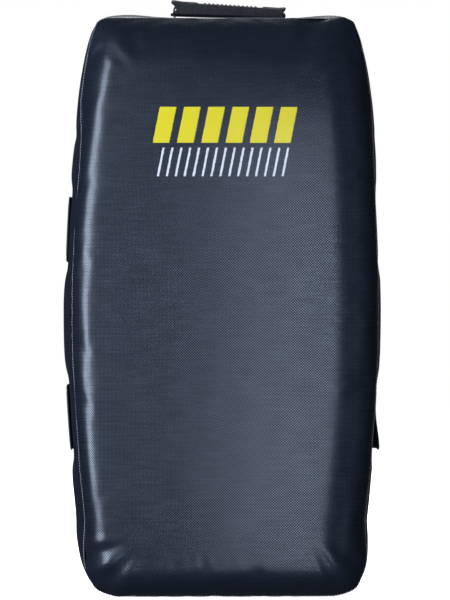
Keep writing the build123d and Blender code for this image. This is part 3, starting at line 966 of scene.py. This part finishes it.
def lay_band(name, centres, across_way, out_way, section, thin_ends=(1.0, 1.0)):
    """A closed band through stations; ways are one direction or one per station."""
    centres = np.asarray(centres, dtype=float)
    count = len(centres)
    across_way = np.broadcast_to(np.asarray(across_way, dtype=float), (count, 3))
    out_way = np.broadcast_to(np.asarray(out_way, dtype=float), (count, 3))
    across, height = section
    thin = np.ones(count)
    thin[0], thin[-1] = thin_ends
    ring_across = np.concatenate([across, across[::-1]])
    ring_height = np.concatenate([height, -height[::-1]])
    spots = centres[:, None, :] + across_way[:, None, :] * ring_across[None, :, None]
    spots = spots + out_way[:, None, :] * (ring_height[None, :] * thin[:, None])[:, :, None]
    size = len(ring_across)
    half = len(across)
    run = length_along(centres)
    faces, cloth = [], []
    for i in range(count - 1):
        for j in range(size):
            k = (j + 1) % size
            faces.append((i * size + j, i * size + k, (i + 1) * size + k, (i + 1) * size + j))
            cloth += [(run[i], ring_across[j]), (run[i], ring_across[k])]
            cloth += [(run[i + 1], ring_across[k]), (run[i + 1], ring_across[j])]
    for i in (0, count - 1):
        for j in range(half - 1):
            loop = (j, j + 1, size - 2 - j, size - 1 - j)
            faces.append(tuple(i * size + n for n in loop))
            cloth += [(run[i], ring_across[n]) for n in loop]
    band = add_mesh(name, spots, faces)
    band.data.uv_layers.new(name="cloth").data.foreach_set("uv", np.array(cloth).ravel())
    return close_up(band)


def close_up(piece):
    """Merge doubles and turn every face outwards."""
    pick(piece)
    bpy.ops.object.mode_set(mode="EDIT")
    bpy.ops.mesh.select_all(action="SELECT")
    bpy.ops.mesh.remove_doubles(threshold=0.00001)
    bpy.ops.mesh.normals_make_consistent(inside=False)
    bpy.ops.object.mode_set(mode="OBJECT")
    return piece


def lay_cloth(piece, u, v):
    """Give a piece's points their places on the cloth, in metres."""
    layer_of_cloth = piece.data.uv_layers.active or piece.data.uv_layers.new(name="cloth")
    layer_of_cloth.name = "cloth"
    for loop in piece.data.loops:
        n = loop.vertex_index
        layer_of_cloth.data[loop.index].uv = (u[n], v[n])
    return piece


# %% Copy a small shape along a line
def resample(line, pitch, closed=False):
    """Places and directions at even steps along a line of points."""
    line = np.asarray(line, dtype=float)
    if closed:
        line = np.vstack([line, line[:1]])
    run = length_along(line)
    count = max(int(run[-1] / pitch), 1)
    marks = (np.arange(count) + 0.5) * run[-1] / count

    def place_at(lengths):
        return np.stack([np.interp(lengths, run, line[:, n]) for n in range(3)], axis=1)

    return place_at(marks), unit_vectors(place_at(marks + 0.2 * pitch) - place_at(marks - 0.2 * pitch))


def copy_along(name, unit, spots, ways, ups):
    """One mesh of many copies of a small shape, its x along the line and its z up."""
    ups = np.broadcast_to(np.asarray(ups, dtype=float), spots.shape)
    sides = unit_vectors(np.cross(ups, ways))
    ups = np.cross(ways, sides)
    shape = get_points(unit)
    copies = spots[:, None, :] + ways[:, None, :] * shape[None, :, 0:1]
    copies = copies + sides[:, None, :] * shape[None, :, 1:2] + ups[:, None, :] * shape[None, :, 2:3]
    unit_faces = [tuple(face.vertices) for face in unit.data.polygons]
    faces = [
        tuple(n + index * len(shape) for n in face) for index in range(len(spots)) for face in unit_faces
    ]
    return add_mesh(name, copies, faces)


# %% One stitch, and the thread it is made of
stitch_pitch, box_pitch, patch_pitch = 3.4 * mm, 2.8 * mm, 3.2 * mm
thread_lift = 1.15 * mm
bead = {"segments": 6, "ring_count": 5, "radius": 1}
unit_stitch = start_piece("unit_stitch", bpy.ops.mesh.primitive_uv_sphere_add, **bead)
stitch_shape = get_points(unit_stitch)[:, [2, 0, 1]] * (1.25 * mm, 0.36 * mm, 0.36 * mm)
set_points(unit_stitch, stitch_shape)
thread, thread_tree, thread_shader = start_material("thread", 0.7, Sheen_Weight=0.3)
thread_place = place_of(thread_tree, "Object")[0]
thread_tone = ranged(thread_tree, noise(thread_tree, thread_place, 900.0), 0.55, 1.2)
thread_colour = mix_colours(thread_tree, thread_tone, (0.02, 0.02, 0.025), (0.30, 0.31, 0.34))
thread_tree.links.new(thread_colour, thread_shader.inputs["Base Color"])
bump(thread_tree, thread_shader, noise(thread_tree, thread_place, 2500.0), 0.1 * mm, 0.6)
dark_thread = thread.copy()
dark_thread.name = "dark_thread"
for node in dark_thread.node_tree.nodes:
    if node.type == "MIX":
        node.inputs[7].default_value = (0.07, 0.075, 0.09, 1)


def lay_stitches(name, line, up, body, closed=False):
    """A row of stitches along a line."""
    spots, ways = resample(line, stitch_pitch, closed)
    ups = up if np.ndim(up) == 1 else resample_values(line, up, len(spots), closed)
    piece = copy_along(name, unit_stitch, spots, ways, ups)
    return finish_piece(piece, body, thread, smooth=60)


def sew(name, lines, up, pitch=box_pitch, closed=False):
    """Stitches along some lines, a mesh for each line."""
    parts = []
    for line in lines:
        spots, ways = resample(line, pitch, closed)
        parts.append(copy_along(name, unit_stitch, spots, ways, up))
    return parts


def sewn_box(near, far, half, sides, place):
    """The lines of stitches in a sewn box with its cross, put in place by a function."""
    lines = {
        "low": (near, -half, far, -half),
        "high": (near, half, far, half),
        "near": (near, -half, near, half),
        "far": (far, -half, far, half),
        "rise": (near, -half, far, half),
        "fall": (near, half, far, -half),
    }
    chosen = [lines[side] for side in sides]
    return [[place(x0, y0), place(x1, y1)] for x0, y0, x1, y1 in chosen]


def resample_values(line, values, count, closed=False):
    """Values that belong to a line's points, at even steps along it."""
    line, values = np.asarray(line, dtype=float), np.asarray(values, dtype=float)
    if closed:
        line, values = np.vstack([line, line[:1]]), np.vstack([values, values[:1]])
    run = length_along(line)
    marks = (np.arange(count) + 0.5) * run[-1] / count
    return np.stack([np.interp(marks, run, values[:, n]) for n in range(values.shape[1])], axis=1)


print("unit stitch faces:", len(unit_stitch.data.polygons))

# %% [markdown]
# The front and back panels are sewn to the side wall all round. The thread shows on the wall, a
# few millimetres from the seam.

# %% Seam stitches
for name, line, way in (("front_seam_stitches", front_ring, -1), ("back_seam_stitches", back_ring, 1)):
    out = outward(line[:, 0], line[:, 2])
    aside = np.stack([out[:, 0], np.full(len(line), 0.9 * way), out[:, 1]], axis=1)
    sewn_line = line + aside * 0.42 * mm
    row_of_stitches = lay_stitches(name, sewn_line, aside, "shield", closed=True)
    print(name, len(row_of_stitches.data.polygons), "faces")

# %% [markdown]
# ## Arm straps
# Two straps cross the back, and a forearm goes under each. The left half is sewn to the left wall
# and lies underneath. The right half is sewn to the right wall and closes over it with hook and
# loop. It bends where it leaves the wall; that half is one piece, attached to no body. The strap
# is the cover's fabric over a thin pad, hemmed with two rows of stitches.

# %% Strap and closure materials
# The straps are the cover's tarpaulin, but their colour is painted several times lighter: painted light on
# the strap ends, which face away from the lamps.
strap_fabric = make_tarpaulin("strap_fabric", (0.024, 0.030, 0.044), 0.42)


def make_closure(name, colour, cell, depth, roughness):
    """Hook or loop tape: a dense field of small tufts."""
    material, tree, shader = start_material(name, roughness, Sheen_Weight=0.4)
    whole = place_of(tree)[0]
    tufts = add_node(tree, "TexVoronoi", {"Vector": whole, "Scale": 1 / cell}).outputs["Distance"]
    tangle = noise(tree, whole, 1200.0, 4.0)
    tint(tree, shader, colour, (tufts, 1.2, 0.4), (tangle, 0.7, 1.2))
    bump(tree, shader, calc(tree, "ADD", tufts, tangle), depth, 1.0)
    return material


loop_tape = make_closure("loop_tape", (0.030, 0.031, 0.036), 0.9 * mm, 0.5 * mm, 0.95)
hook_tape = make_closure("hook_tape", (0.016, 0.016, 0.019), 1.5 * mm, 0.7 * mm, 0.55)

# %% Strap sizes
strap_thickness = 3 * mm
strap_overlap = 50 * mm
closure_thickness = 1.2 * mm
running_gap = 0.3 * mm
patch_margin = 5 * mm
hem_inset = 5 * mm
strap_turn = 0.145, 0.188


def arc(centre, radius, start, end, count):
    """Points of an arc in the plane of x and y, angles in radians."""
    turn = np.linspace(start, end, count)
    return np.stack([centre[0] + radius * np.cos(turn), centre[1] + radius * np.sin(turn)], axis=1)


def at_level(path, level):
    """A level path as points at a height."""
    return np.column_stack([path, np.full(len(path), level)])


def soften(path, passes=3):
    """Round the corners of a path and leave its ends."""
    for _ in range(passes):
        path[1:-1] = 0.25 * path[:-2] + 0.5 * path[1:-1] + 0.25 * path[2:]
    return path


def side_ways(path):
    """The direction that points away from the pad, at each point of a level path."""
    run = unit_vectors(np.gradient(path, axis=0))
    return np.stack([run[:, 1], -run[:, 0], np.zeros(len(path))], axis=1)


# %% Make the straps
def follow_wall(piece, sink, flare=0.0):
    """Lean a strap's sewn end onto the barrel side, and flare its lower edge outwards."""
    spot = get_points(piece)
    z = spot[:, 2]
    top, base = z.max(), z.min()
    lean = half_width(z) - half_width(np.clip(mid_height, base, top))
    shift = lean - sink + flare * (1 - smooth_step(z, base - 0.01, base + 0.055))
    sewn = smooth_step(np.abs(spot[:, 0]), *strap_turn)
    spot[:, 0] += np.sign(spot[:, 0]) * shift * sewn
    set_points(piece, spot)


def stitch_rows(name, path, ways, middle, width, lift, body):
    """Rows of stitches along both hems, on the outside of a strap."""
    parts = []
    for height in (middle - width / 2 + hem_inset, middle + width / 2 - hem_inset):
        line = at_level(path, height) + ways * lift
        spots, along = resample(line, stitch_pitch)
        ups = resample_values(line, ways, len(spots))
        parts.append(copy_along(name, unit_stitch, spots, along, ups))
    return finish_piece(join_parts(parts), body, thread, smooth=60)


def make_half(name, path, ways, section, level, width, body, nodes, sink, flare=0.0):
    """One half of a strap and its stitches, its sewn end leaning onto the wall."""
    half = lay_band(f"{name}_half", at_level(path, level), (0, 0, 1), ways, section, (0.3, 0.6))
    round_off(half)
    finish_piece(half, body, strap_fabric, nodes, 50)
    inner_path, inner_ways = path[1:-1], ways[1:-1]
    threads = stitch_rows(f"{name}_stitches", inner_path, inner_ways, level, width, thread_lift, body)
    for piece in (half, threads):
        follow_wall(piece, sink, flare)
    return half, threads


for which in ("upper", "lower"):
    tab_box, loop_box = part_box(f"{which}_strap_tab"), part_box(f"{which}_strap_left")
    low, high = tab_box[0][2], tab_box[1][2]
    middle, width = (low + high) / 2, high - low
    tab_x = (tab_box[0][0] + tab_box[1][0]) / 2
    tab_front = tab_box[0][1]
    crest_y = loop_box[1][1] - strap_thickness / 2
    corner_y = tab_front + 45 * mm
    rise = crest_y - corner_y
    loop_radius = (tab_x**2 + rise**2) / (2 * rise)
    centre = (0, crest_y - loop_radius)
    flap_radius = loop_radius + strap_thickness + 2 * closure_thickness + 3 * running_gap
    pivot_y = centre[1] + sqrt(flap_radius**2 - tab_x**2)
    hem = band_section(width, strap_thickness, 22, hem_inset, 0.55)

    corner_turn = atan2(corner_y - centre[1], -tab_x)
    left_tab = np.column_stack([np.full(14, -tab_x), np.linspace(tab_front, corner_y, 14)])
    left_arc = arc(centre, loop_radius, corner_turn, acos(strap_overlap / loop_radius), 76)
    path = soften(np.vstack([left_tab, left_arc[1:]]))
    sink = 5.1 * mm if which == "upper" else 3.9 * mm
    left_node = f"{which}_strap_left"
    make_half(left_node, path, -side_ways(path), hem, middle, width, "shield", [left_node], sink)

    flap_start = atan2(pivot_y - centre[1], tab_x)
    right_tab = np.column_stack([np.full(16, tab_x), np.linspace(tab_front, pivot_y, 16)])
    right_arc = arc(centre, flap_radius, flap_start, acos(-strap_overlap / flap_radius), 76)
    path = soften(np.vstack([right_tab, right_arc[1:]]))
    name, nodes = f"{which}_strap_right", [f"{which}_strap_tab", f"{which}_strap_flap"]
    flare = 9 * mm if which == "lower" else 0
    both = make_half(name, path, side_ways(path), hem, middle, width, None, nodes, 3.6 * mm, flare)
    for piece in both:
        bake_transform(piece)

    patch_width = width - 2 * patch_margin
    patch_section = band_section(patch_width, closure_thickness, 14)
    patch_start = acos((strap_overlap - patch_margin) / flap_radius)
    loop_level = loop_radius + strap_thickness / 2 + running_gap + closure_thickness / 2
    hook_level = flap_radius - strap_thickness / 2 - running_gap / 3 - closure_thickness / 2
    for kind, level, material, body in (
        ("loop", loop_level, loop_tape, "shield"),
        ("hook", hook_level, hook_tape, f"{which}_flap"),
    ):
        path = arc(centre, level, patch_start, pi - patch_start, 24)
        stations, out = at_level(path, middle), -side_ways(path)
        patch = lay_band(f"{which}_{kind}_tape", stations, (0, 0, 1), out, patch_section)
        finish_piece(patch, body, material, [f"{which}_{kind}_patch"], 40)
    print(f"{which} strap: crest {crest_y:.4f}, radius {loop_radius:.4f}, pivot y {pivot_y:.4f}")

# %% [markdown]
# ## Hand grip
# A loop of webbing crosses the back, between two stitched patches, and a padded sleeve makes it
# comfortable to hold. The loop flexes up and down about its sewn ends; its webbing is one piece,
# attached to no body. The sleeve is a small cushion, pulled in at its ends.

# %% Webbing material
def make_webbing(name, colour, rib=1.5 * mm):
    """Woven webbing: ribs across it, and columns of yarns that lean in turn."""
    material, tree, shader = start_material(name, 0.62, Sheen_Weight=0.25, Sheen_Roughness=0.4)
    whole, along, across, _ = place_of(tree)
    lean = calc(tree, "MULTIPLY", wave(tree, across, 2 * rib), 0.25 * rib)
    ribs = wave(tree, calc(tree, "ADD", along, lean), rib)
    columns_of_yarn = wave(tree, across, rib)
    weave = calc(tree, "MULTIPLY_ADD", calc(tree, "ADD", ribs, columns_of_yarn), 0.25, 0.5)
    fuzz = noise(tree, whole, 1500.0, 3.0)
    tint(tree, shader, colour, (weave, 0.5, 1.25), (fuzz, 0.75, 1.25))
    first = bump(tree, shader, weave, 0.35 * mm, 0.9)
    bump(tree, shader, fuzz, 0.08 * mm, 0.5, first)
    return material


black_webbing = make_webbing("black_webbing", (0.020, 0.021, 0.024))
zip_webbing = make_webbing("zip_cloth", (0.014, 0.015, 0.018), 0.9 * mm)

# %% Hand grip webbing
hand_height = 540 * mm
hand_slope = (hand_height - mid_height) / bow_radius
hand_origin = np.array([0, half_depth - float(bow(hand_height)), hand_height])
hand_left, hand_out = np.array([-1.0, 0, 0]), np.array([0, cos(hand_slope), -sin(hand_slope)])
hand_up = np.cross(hand_out, hand_left)
patch_size, patch_thickness, patch_groove = 42 * mm, 1.5 * mm, 3.6 * mm
hand_span, hand_level, low_level = 150 * mm, 35 * mm, 2.9 * mm
sleeve_length = 96 * mm


def hand_place(along, out, up=0.0):
    """A point given along the grip, out from the back and up."""
    return hand_origin + along * hand_left + out * hand_out + up * hand_up


tail, foot, shoulder = hand_span / 2 + 14 * mm, hand_span / 2, sleeve_length / 2 + 4 * mm
sewn_part = np.column_stack([np.linspace(tail, foot + 2 * mm, 6), np.full(6, low_level)])
rise_part = np.linspace((foot, low_level), (shoulder, hand_level), 16)
top_part = np.column_stack([np.linspace(shoulder - 3 * mm, 0, 14), np.full(14, hand_level)])
half_path = soften(np.vstack([sewn_part, rise_part, top_part]), 5)
grip_path = np.vstack([half_path, half_path[-2::-1] * (-1, 1)])
run = unit_vectors(np.gradient(grip_path, axis=0))
grip_out = -run[:, 1:2] * hand_left + run[:, 0:1] * hand_out
grip_out *= np.sign(grip_out @ hand_out)[:, None]
stations = np.array([hand_place(a, b) for a, b in grip_path])
hand_webbing = lay_band(
    "hand_grip_loop", stations, hand_up, grip_out, band_section(25 * mm, 2 * mm, 14), (0.7, 0.7)
)
round_off(hand_webbing)
finish_piece(hand_webbing, None, black_webbing, ["hand_grip_webbing", "hand_grip_ends"], 50)
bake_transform(hand_webbing)
print(f"hand grip webbing: {len(stations)} stations")

# %% Hand grip sleeve
sleeve_fabric = make_webbing("sleeve_fabric", (0.026, 0.028, 0.034), 0.8 * mm)


def swell_sleeve(turns=28, rings=40):
    """A padded tube round the webbing, pulled in at its ends and along its seam."""
    round_ends = {"vertices": turns, "radius": 1, "depth": 2, "end_fill_type": "NGON"}
    tube = start_piece("hand_grip_pad", bpy.ops.mesh.primitive_cylinder_add, **round_ends)
    bpy.ops.object.mode_set(mode="EDIT")
    cut_along(2, rings - 1)
    bpy.ops.mesh.select_all(action="DESELECT")
    bpy.ops.mesh.select_mode(type="FACE")
    choose("FACE", lambda face: len(face.verts) > 4)
    bpy.ops.mesh.inset(thickness=0.25)
    bpy.ops.mesh.inset(thickness=0.25)
    bpy.ops.object.mode_set(mode="OBJECT")
    spot = get_points(tube)
    along = spot[:, 2]
    fat = np.sqrt(np.clip(1 - np.abs(along) ** 7, 0, 1)) * 0.9 + 0.1
    pleats = np.sin(14 * np.arctan2(spot[:, 1], spot[:, 0]))
    gather = 1 + 0.02 * pleats * np.clip(np.abs(along) - 0.6, 0, 1) / 0.4
    half_up, half_out = 16.3 * mm, 5.0 * mm
    up = half_up * np.sign(spot[:, 0]) * np.abs(spot[:, 0]) ** 0.8 * (0.86 + 0.14 * fat) * gather
    out_shape = half_out * spot[:, 1] * (0.55 + 0.45 * fat) * gather
    channel = np.exp(-((np.abs(along) - 0.86) / 0.02) ** 2) * 0.12
    out_shape *= 1 - channel
    spots = [hand_place(a * sleeve_length / 2, hand_level + o, u) for a, o, u in zip(along, out_shape, up)]
    set_points(tube, spots)
    return close_up(lay_cloth(tube, along * sleeve_length / 2, up))


sleeve = swell_sleeve()
round_off(sleeve)
finish_piece(sleeve, "hand_grip", sleeve_fabric, ["hand_grip_sleeve"], 60)
print("sleeve faces:", len(sleeve.data.polygons))


# %% Hand grip patches
def make_patch(name, along):
    """A square fabric patch with a rounded outline and a soft raised middle."""
    patch = start_piece(name, bpy.ops.mesh.primitive_cube_add, size=1)
    set_points(patch, get_points(patch) * (patch_size, patch_size, patch_thickness))
    bpy.ops.object.mode_set(mode="EDIT")
    choose("EDGE", lambda edge: abs((edge.verts[0].co - edge.verts[1].co).z) > TINY)
    bpy.ops.mesh.bevel(offset=5 * mm, segments=5)
    bpy.ops.mesh.select_all(action="DESELECT")
    choose("FACE", lambda face: abs(face.normal.z) > 0.9)
    for thickness in (0.7 * mm, 2.6 * mm, 0.8 * mm, 5 * mm):
        bpy.ops.mesh.inset(thickness=thickness)
    bpy.ops.object.mode_set(mode="OBJECT")
    spot = get_points(patch)
    from_edge = patch_size / 2 - np.maximum(np.abs(spot[:, 0]), np.abs(spot[:, 1]))
    top = spot[:, 2] > 0
    spot[top & (from_edge < 0.1 * mm), 2] -= 0.5 * mm
    spot[top & (np.abs(from_edge - patch_groove) < 0.6 * mm), 2] -= 0.35 * mm
    level = 0.2 * mm + patch_thickness / 2
    set_points(patch, [hand_place(along + a, level + c, b) for a, b, c in spot])
    return close_up(lay_cloth(patch, spot[:, 0], spot[:, 1]))


patch_pieces, sewn_lines = [], []
for way in (1, -1):
    along = way * (hand_span + patch_size / 4) / 2
    patch_pieces.append(make_patch("hand_grip_patch", along))
    edge = patch_size / 2 - patch_groove
    corners = [(-edge, -edge), (edge, -edge), (edge, edge), (-edge, edge)]
    sewn_lines.append([hand_place(along + a, 1.75 * mm, b) for a, b in corners])
patches = join_parts(patch_pieces)
patches.name = "hand_grip_base"
# The patches share the straps' tarpaulin, whose colour is painted lighter than the cover's as painted
# light.
finish_piece(patches, "shield", strap_fabric, ["hand_grip_patches"], 40)
stitch_parts = sew("hand_grip_stitches", sewn_lines, hand_out, patch_pitch, True)
for way in (1, -1):
    box_x = [way * (hand_span / 2 + 1.5 * mm), way * (tail - 1.5 * mm)]
    sides = ("low", "high", "rise", "fall", "far")
    box = sewn_box(*box_x, 10 * mm, sides, lambda a, b: hand_place(a, low_level + 1.05 * mm, b))
    stitch_parts += sew("hand_grip_stitches", box, hand_out)
finish_piece(join_parts(stitch_parts), "shield", thread, smooth=60)
print("hand grip patches and their stitches made")

# %% [markdown]
# ## Carry handle
# The grip on the top is moulded rubber, satin and black, with ribs for the fingers. Its webbing
# runs through it, curls down at both ends and is sewn flat to the cover. When the handle is lifted
# the curls straighten; here each curl is a piece of its own, attached to no body.

# %% Grip material
def make_grip_rubber():
    """Moulded satin rubber: fine mould texture, a diagonal hatch low on the sides, worn ribs."""
    material, tree, shader = start_material("grip_rubber", 0.42, Specular_IOR_Level=0.28)
    whole, x, y, z = place_of(tree, "Object")
    grain = noise(tree, whole, 2200.0, 3.0)
    wear = noise(tree, whole, 130.0, 5.0)
    hatch = wave(tree, calc(tree, "ADD", x, z), 2.6 * mm)
    cross_hatch = wave(tree, calc(tree, "SUBTRACT", x, z), 2.6 * mm)
    on_side = between(tree, calc(tree, "ABSOLUTE", y), 10.5 * mm, 12 * mm)
    pattern = calc(tree, "MULTIPLY", calc(tree, "MULTIPLY", hatch, cross_hatch), on_side)
    tint(tree, shader, (0.009, 0.0095, 0.011), (wear, 0.7, 1.3), (grain, 0.85, 1.15))
    tree.links.new(ranged(tree, wear, 0.34, 0.52), shader.inputs["Roughness"])
    first = bump(tree, shader, grain, 0.06 * mm, 0.5)
    bump(tree, shader, pattern, 0.3 * mm, 0.8, first)
    return material


grip_rubber = make_grip_rubber()

# %% Carry grip
grip_tilt = radians(3.6)
grip_length, grip_width, grip_height = 130 * mm, 26 * mm, 12.6 * mm
rib_pitch = 5.2 * mm
grip_low = np.array([10 * mm, 0, body_height + 1.6 * mm + grip_length / 2 * sin(grip_tilt)])
grip_along = np.array([cos(grip_tilt), 0, -sin(grip_tilt)])
grip_up = np.array([sin(grip_tilt), 0, cos(grip_tilt)])


def grip_point(along, across, up):
    """A point given along, across and up from the middle of the grip's underside."""
    return grip_low + along * grip_along + up * grip_up + across * np.array([0, 1.0, 0])


def mould_grip():
    """A rounded bar with ribs cut across its top and a raised pad with a pointed notch at each end."""
    grip = cut_cube("carry_grip_body", (156, 22, 8))
    spot = get_points(grip)
    a, b, c = spot[:, 0], spot[:, 1], spot[:, 2]
    power = 4.0
    size = (np.abs(b) ** power + np.abs(c) ** power) ** (1 / power)
    square = np.maximum(np.abs(b), np.abs(c))
    pull = np.where(size > TINY, square / np.maximum(size, TINY), 1)
    across = b * pull * grip_width / 2
    up = (c * pull + 1) / 2 * grip_height
    along = a * grip_length / 2
    upper = smooth_step(c, 0.35, 0.75) * (1 - smooth_step(np.abs(across), 7.8 * mm, 9.6 * mm))
    from_middle = np.abs(along)
    inner = grip_length / 2 - 26 * mm + 6 * mm * (1 - np.clip(np.abs(across) / (8.6 * mm), 0, 1))
    pad = smooth_step(from_middle, inner - 0.5 * mm, inner + 0.5 * mm)
    comb = (along / rib_pitch + 0.5) % 1 - 0.5
    rib = 1 - smooth_step(np.abs(comb), 0.2, 0.32)
    rib *= 1 - smooth_step(from_middle, 33.6 * mm, 34.4 * mm)
    up = up + upper * 1.15 * mm * np.maximum(pad, rib)
    side = smooth_step(np.abs(b), 0.86, 0.97) * (1 - smooth_step(np.abs(c), 0.5, 0.8))
    comb_wave = smooth_step(np.cos(along / rib_pitch * 2 * pi), -0.2, 0.5)
    across -= np.sign(b) * side * 0.5 * mm * comb_wave
    end_round = np.clip((np.abs(a) - 0.975) / 0.025, 0, 1) ** 2
    across *= 1 - 0.10 * end_round
    up = (up - grip_height / 2) * (1 - 0.16 * end_round) + grip_height / 2
    tip = smooth_step(np.abs(a), 0.9, 1.0)
    along += np.where(a < 0, -7 * mm, 3 * mm) * tip * np.abs(c) ** 1.5
    up += 1.2 * mm * tip * smooth_step(c, 0, 1) - 4.5 * mm * (1 - c) / 2 * (1 - a) / 2
    set_points(grip, [grip_point(*each) for each in zip(along, across, up)])
    return close_up(grip)


grip = mould_grip()
finish_piece(grip, "carry_grip", grip_rubber, ["carry_grip", "carry_webbing_core"], 38)
print("grip faces:", len(grip.data.polygons))

# %% Carry webbing: two curls and two sewn tails
carry_section = band_section(21 * mm, 2.2 * mm, 12)
tail_level = body_height + 1.3 * mm
curl_level, thread_level = tail_level + 2.2 * mm, tail_level + thread_lift
for way, side in ((1, "right"), (-1, "left")):
    leave = grip_point(way * grip_length / 2, 0, grip_height / 2)
    radius = (leave[2] - curl_level) / 2
    curl_x = leave[0] + way * 1.3 * mm
    start = grip_point(way * (grip_length / 2 - 5 * mm), 0, grip_height / 2)
    turn = np.linspace(pi / 2, -pi / 2, 22)
    middle_z = (leave[2] + curl_level) / 2
    curl = [(curl_x + way * radius * 0.35 * cos(t), middle_z + radius * sin(t)) for t in turn]
    path = np.array([(start[0], start[2]), (leave[0], leave[2])] + curl)
    run = unit_vectors(np.gradient(path, axis=0))
    out = np.stack([-run[:, 1] * way, np.zeros(len(path)), run[:, 0] * way], axis=1)
    stations = np.column_stack([path[:, 0], np.zeros(len(path)), path[:, 1]])
    leg = lay_band(f"carry_curl_{side}", stations, (0, 1, 0), out, carry_section)
    round_off(leg)
    finish_piece(leg, None, black_webbing, ["carry_webbing_legs"], 50)
    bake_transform(leg)
    tail_x = np.linspace(curl_x + way * 0.2 * mm, curl_x - way * 27 * mm, 12)
    stations = np.column_stack([tail_x, np.zeros(12), np.full(12, tail_level)])
    tail_band = lay_band(f"carry_tail_{side}", stations, (0, 1, 0), (0, 0, 1), carry_section, (1, 0.7))
    finish_piece(tail_band, "shield", black_webbing, ["carry_webbing_tails"], 50)
    box_x = [curl_x - way * 4 * mm, curl_x - way * 25 * mm]
    sides = ("low", "high", "near", "far", "rise", "fall")
    box = sewn_box(*box_x, 9 * mm, sides, lambda x, y: (x, y, thread_level))
    box_stitches = join_parts(sew(f"carry_stitches_{side}", box, (0.0, 0.0, 1.0)))
    finish_piece(box_stitches, "shield", dark_thread, smooth=60)
print("carry webbing made")

# %% [markdown]
# ## Zip
# The filling goes in through a zip low on the back. Each side has a woven tape and a coil, whose
# turns grip each other. The panels' edges are folded into lips with a row of stitches.

# %% Zip placement
zip_slope = (zip_height - mid_height) / bow_radius
zip_origin = np.array([0, half_depth - float(bow(zip_height)), zip_height])
zip_out = np.array([0, cos(zip_slope), -sin(zip_slope)])
zip_up = np.array([0, sin(zip_slope), cos(zip_slope)])
zip_length = 2 * zip_half
tape_top = -1.4 * mm
tape_aside, lip_aside, thread_aside, coil_aside = 8.8 * mm, 9.6 * mm, 11.0 * mm, 1.55 * mm


def zip_point(along, up, out):
    """A point given along the zip, across it and out from the back."""
    return zip_origin + np.array([along, 0, 0]) + up * zip_up + out * zip_out


def zip_line(up, out, half=None, count=40):
    """A straight line along the zip."""
    half = zip_length / 2 if half is None else half
    return np.array([zip_point(a, up, out) for a in np.linspace(-half, half, count)])


# %% Tapes, lips and stitches
tape_section = band_section(16 * mm, 0.8 * mm, 8)
lip_section = band_section(6.5 * mm, 2.0 * mm, 8, crown=0.2 * mm)
for way, side in ((1, "upper"), (-1, "lower")):
    tape_line = zip_line(way * tape_aside, tape_top - 0.4 * mm, zip_length / 2 + 8 * mm)
    tape = lay_band(f"zip_cloth_{side}", tape_line, zip_up, zip_out, tape_section)
    finish_piece(tape, "shield", zip_webbing, [f"zip_tape_{side}"], 40)
    lip_line = zip_line(way * lip_aside, 0.1 * mm, zip_length / 2 + 3 * mm)
    lip = lay_band(f"zip_lip_{side}", lip_line, zip_up, zip_out, lip_section, (0.6, 0.6))
    finish_piece(lip, "shield", tarpaulin, smooth=50)
    lay_stitches(f"zip_lip_stitches_{side}", zip_line(way * thread_aside, 1.2 * mm), zip_out, "shield")

# %% Coils
ring = {"major_segments": 12, "major_radius": 1.2 * mm, "minor_segments": 5, "minor_radius": 0.42 * mm}
unit_turn = start_piece("unit_turn", bpy.ops.mesh.primitive_torus_add, **ring)
turn_shape = get_points(unit_turn)[:, [2, 0, 1]] * (1.0, 1.12, 0.92)
turn_shape[:, 0] += turn_shape[:, 2] * 0.25
set_points(unit_turn, turn_shape)
coil_nylon, coil_tree, coil_shader = start_material("coil_nylon", 0.38)
coil_place = place_of(coil_tree, "Object")[0]
coil_streaks = noise(coil_tree, coil_place, 500.0)
tint(coil_tree, coil_shader, (0.018, 0.019, 0.022), (coil_streaks, 0.6, 1.3))
bump(coil_tree, coil_shader, noise(coil_tree, coil_place, 3000.0), 0.05 * mm, 0.5)
for way, side in ((1, "upper"), (-1, "lower")):
    coil_line = zip_line(way * coil_aside, tape_top + 1.15 * mm, zip_length / 2 - 7 * mm)
    if way < 0:
        coil_line = coil_line + np.array([0.7 * mm, 0, 0])
    spots, ways = resample(coil_line, 1.4 * mm)
    coil = copy_along(f"zip_turns_{side}", unit_turn, spots, ways, zip_out)
    finish_piece(coil, "shield", coil_nylon, [f"zip_coil_{side}"], 60)
    print(f"{side} coil: {len(spots)} turns")
bpy.data.objects.remove(unit_turn)
bpy.data.objects.remove(unit_stitch)


# %% Metal parts of the zip
def make_zip_metal(name, colour, roughness):
    """Enamelled die-cast metal, worn to bare metal in spots."""
    material, tree, shader = start_material(name, roughness)
    whole = place_of(tree, "Object")[0]
    wear = noise(tree, whole, 420.0, 6.0, roughness=0.7)
    bare = between(tree, wear, 0.60, 0.68)
    tree.links.new(mix_colours(tree, bare, colour, (0.42, 0.42, 0.43)), shader.inputs["Base Color"])
    tree.links.new(ranged(tree, bare, 0.1, 1.0), shader.inputs["Metallic"])
    tree.links.new(ranged(tree, wear, roughness - 0.08, roughness + 0.15), shader.inputs["Roughness"])
    bump(tree, shader, noise(tree, whole, 1500.0, 4.0), 0.06 * mm, 0.5)
    return material


zip_metal = make_zip_metal("zip_metal", (0.02, 0.02, 0.024), 0.32)
stop_metal = make_zip_metal("stop_metal", (0.10, 0.10, 0.11), 0.38)
for node, material in (("zip_slider", zip_metal), ("zip_pull", zip_metal), ("zip_stops", stop_metal)):
    part = frame["nodes"][node]
    part.data.materials.clear()
    part.data.materials.append(material)
print("metal parts finished")
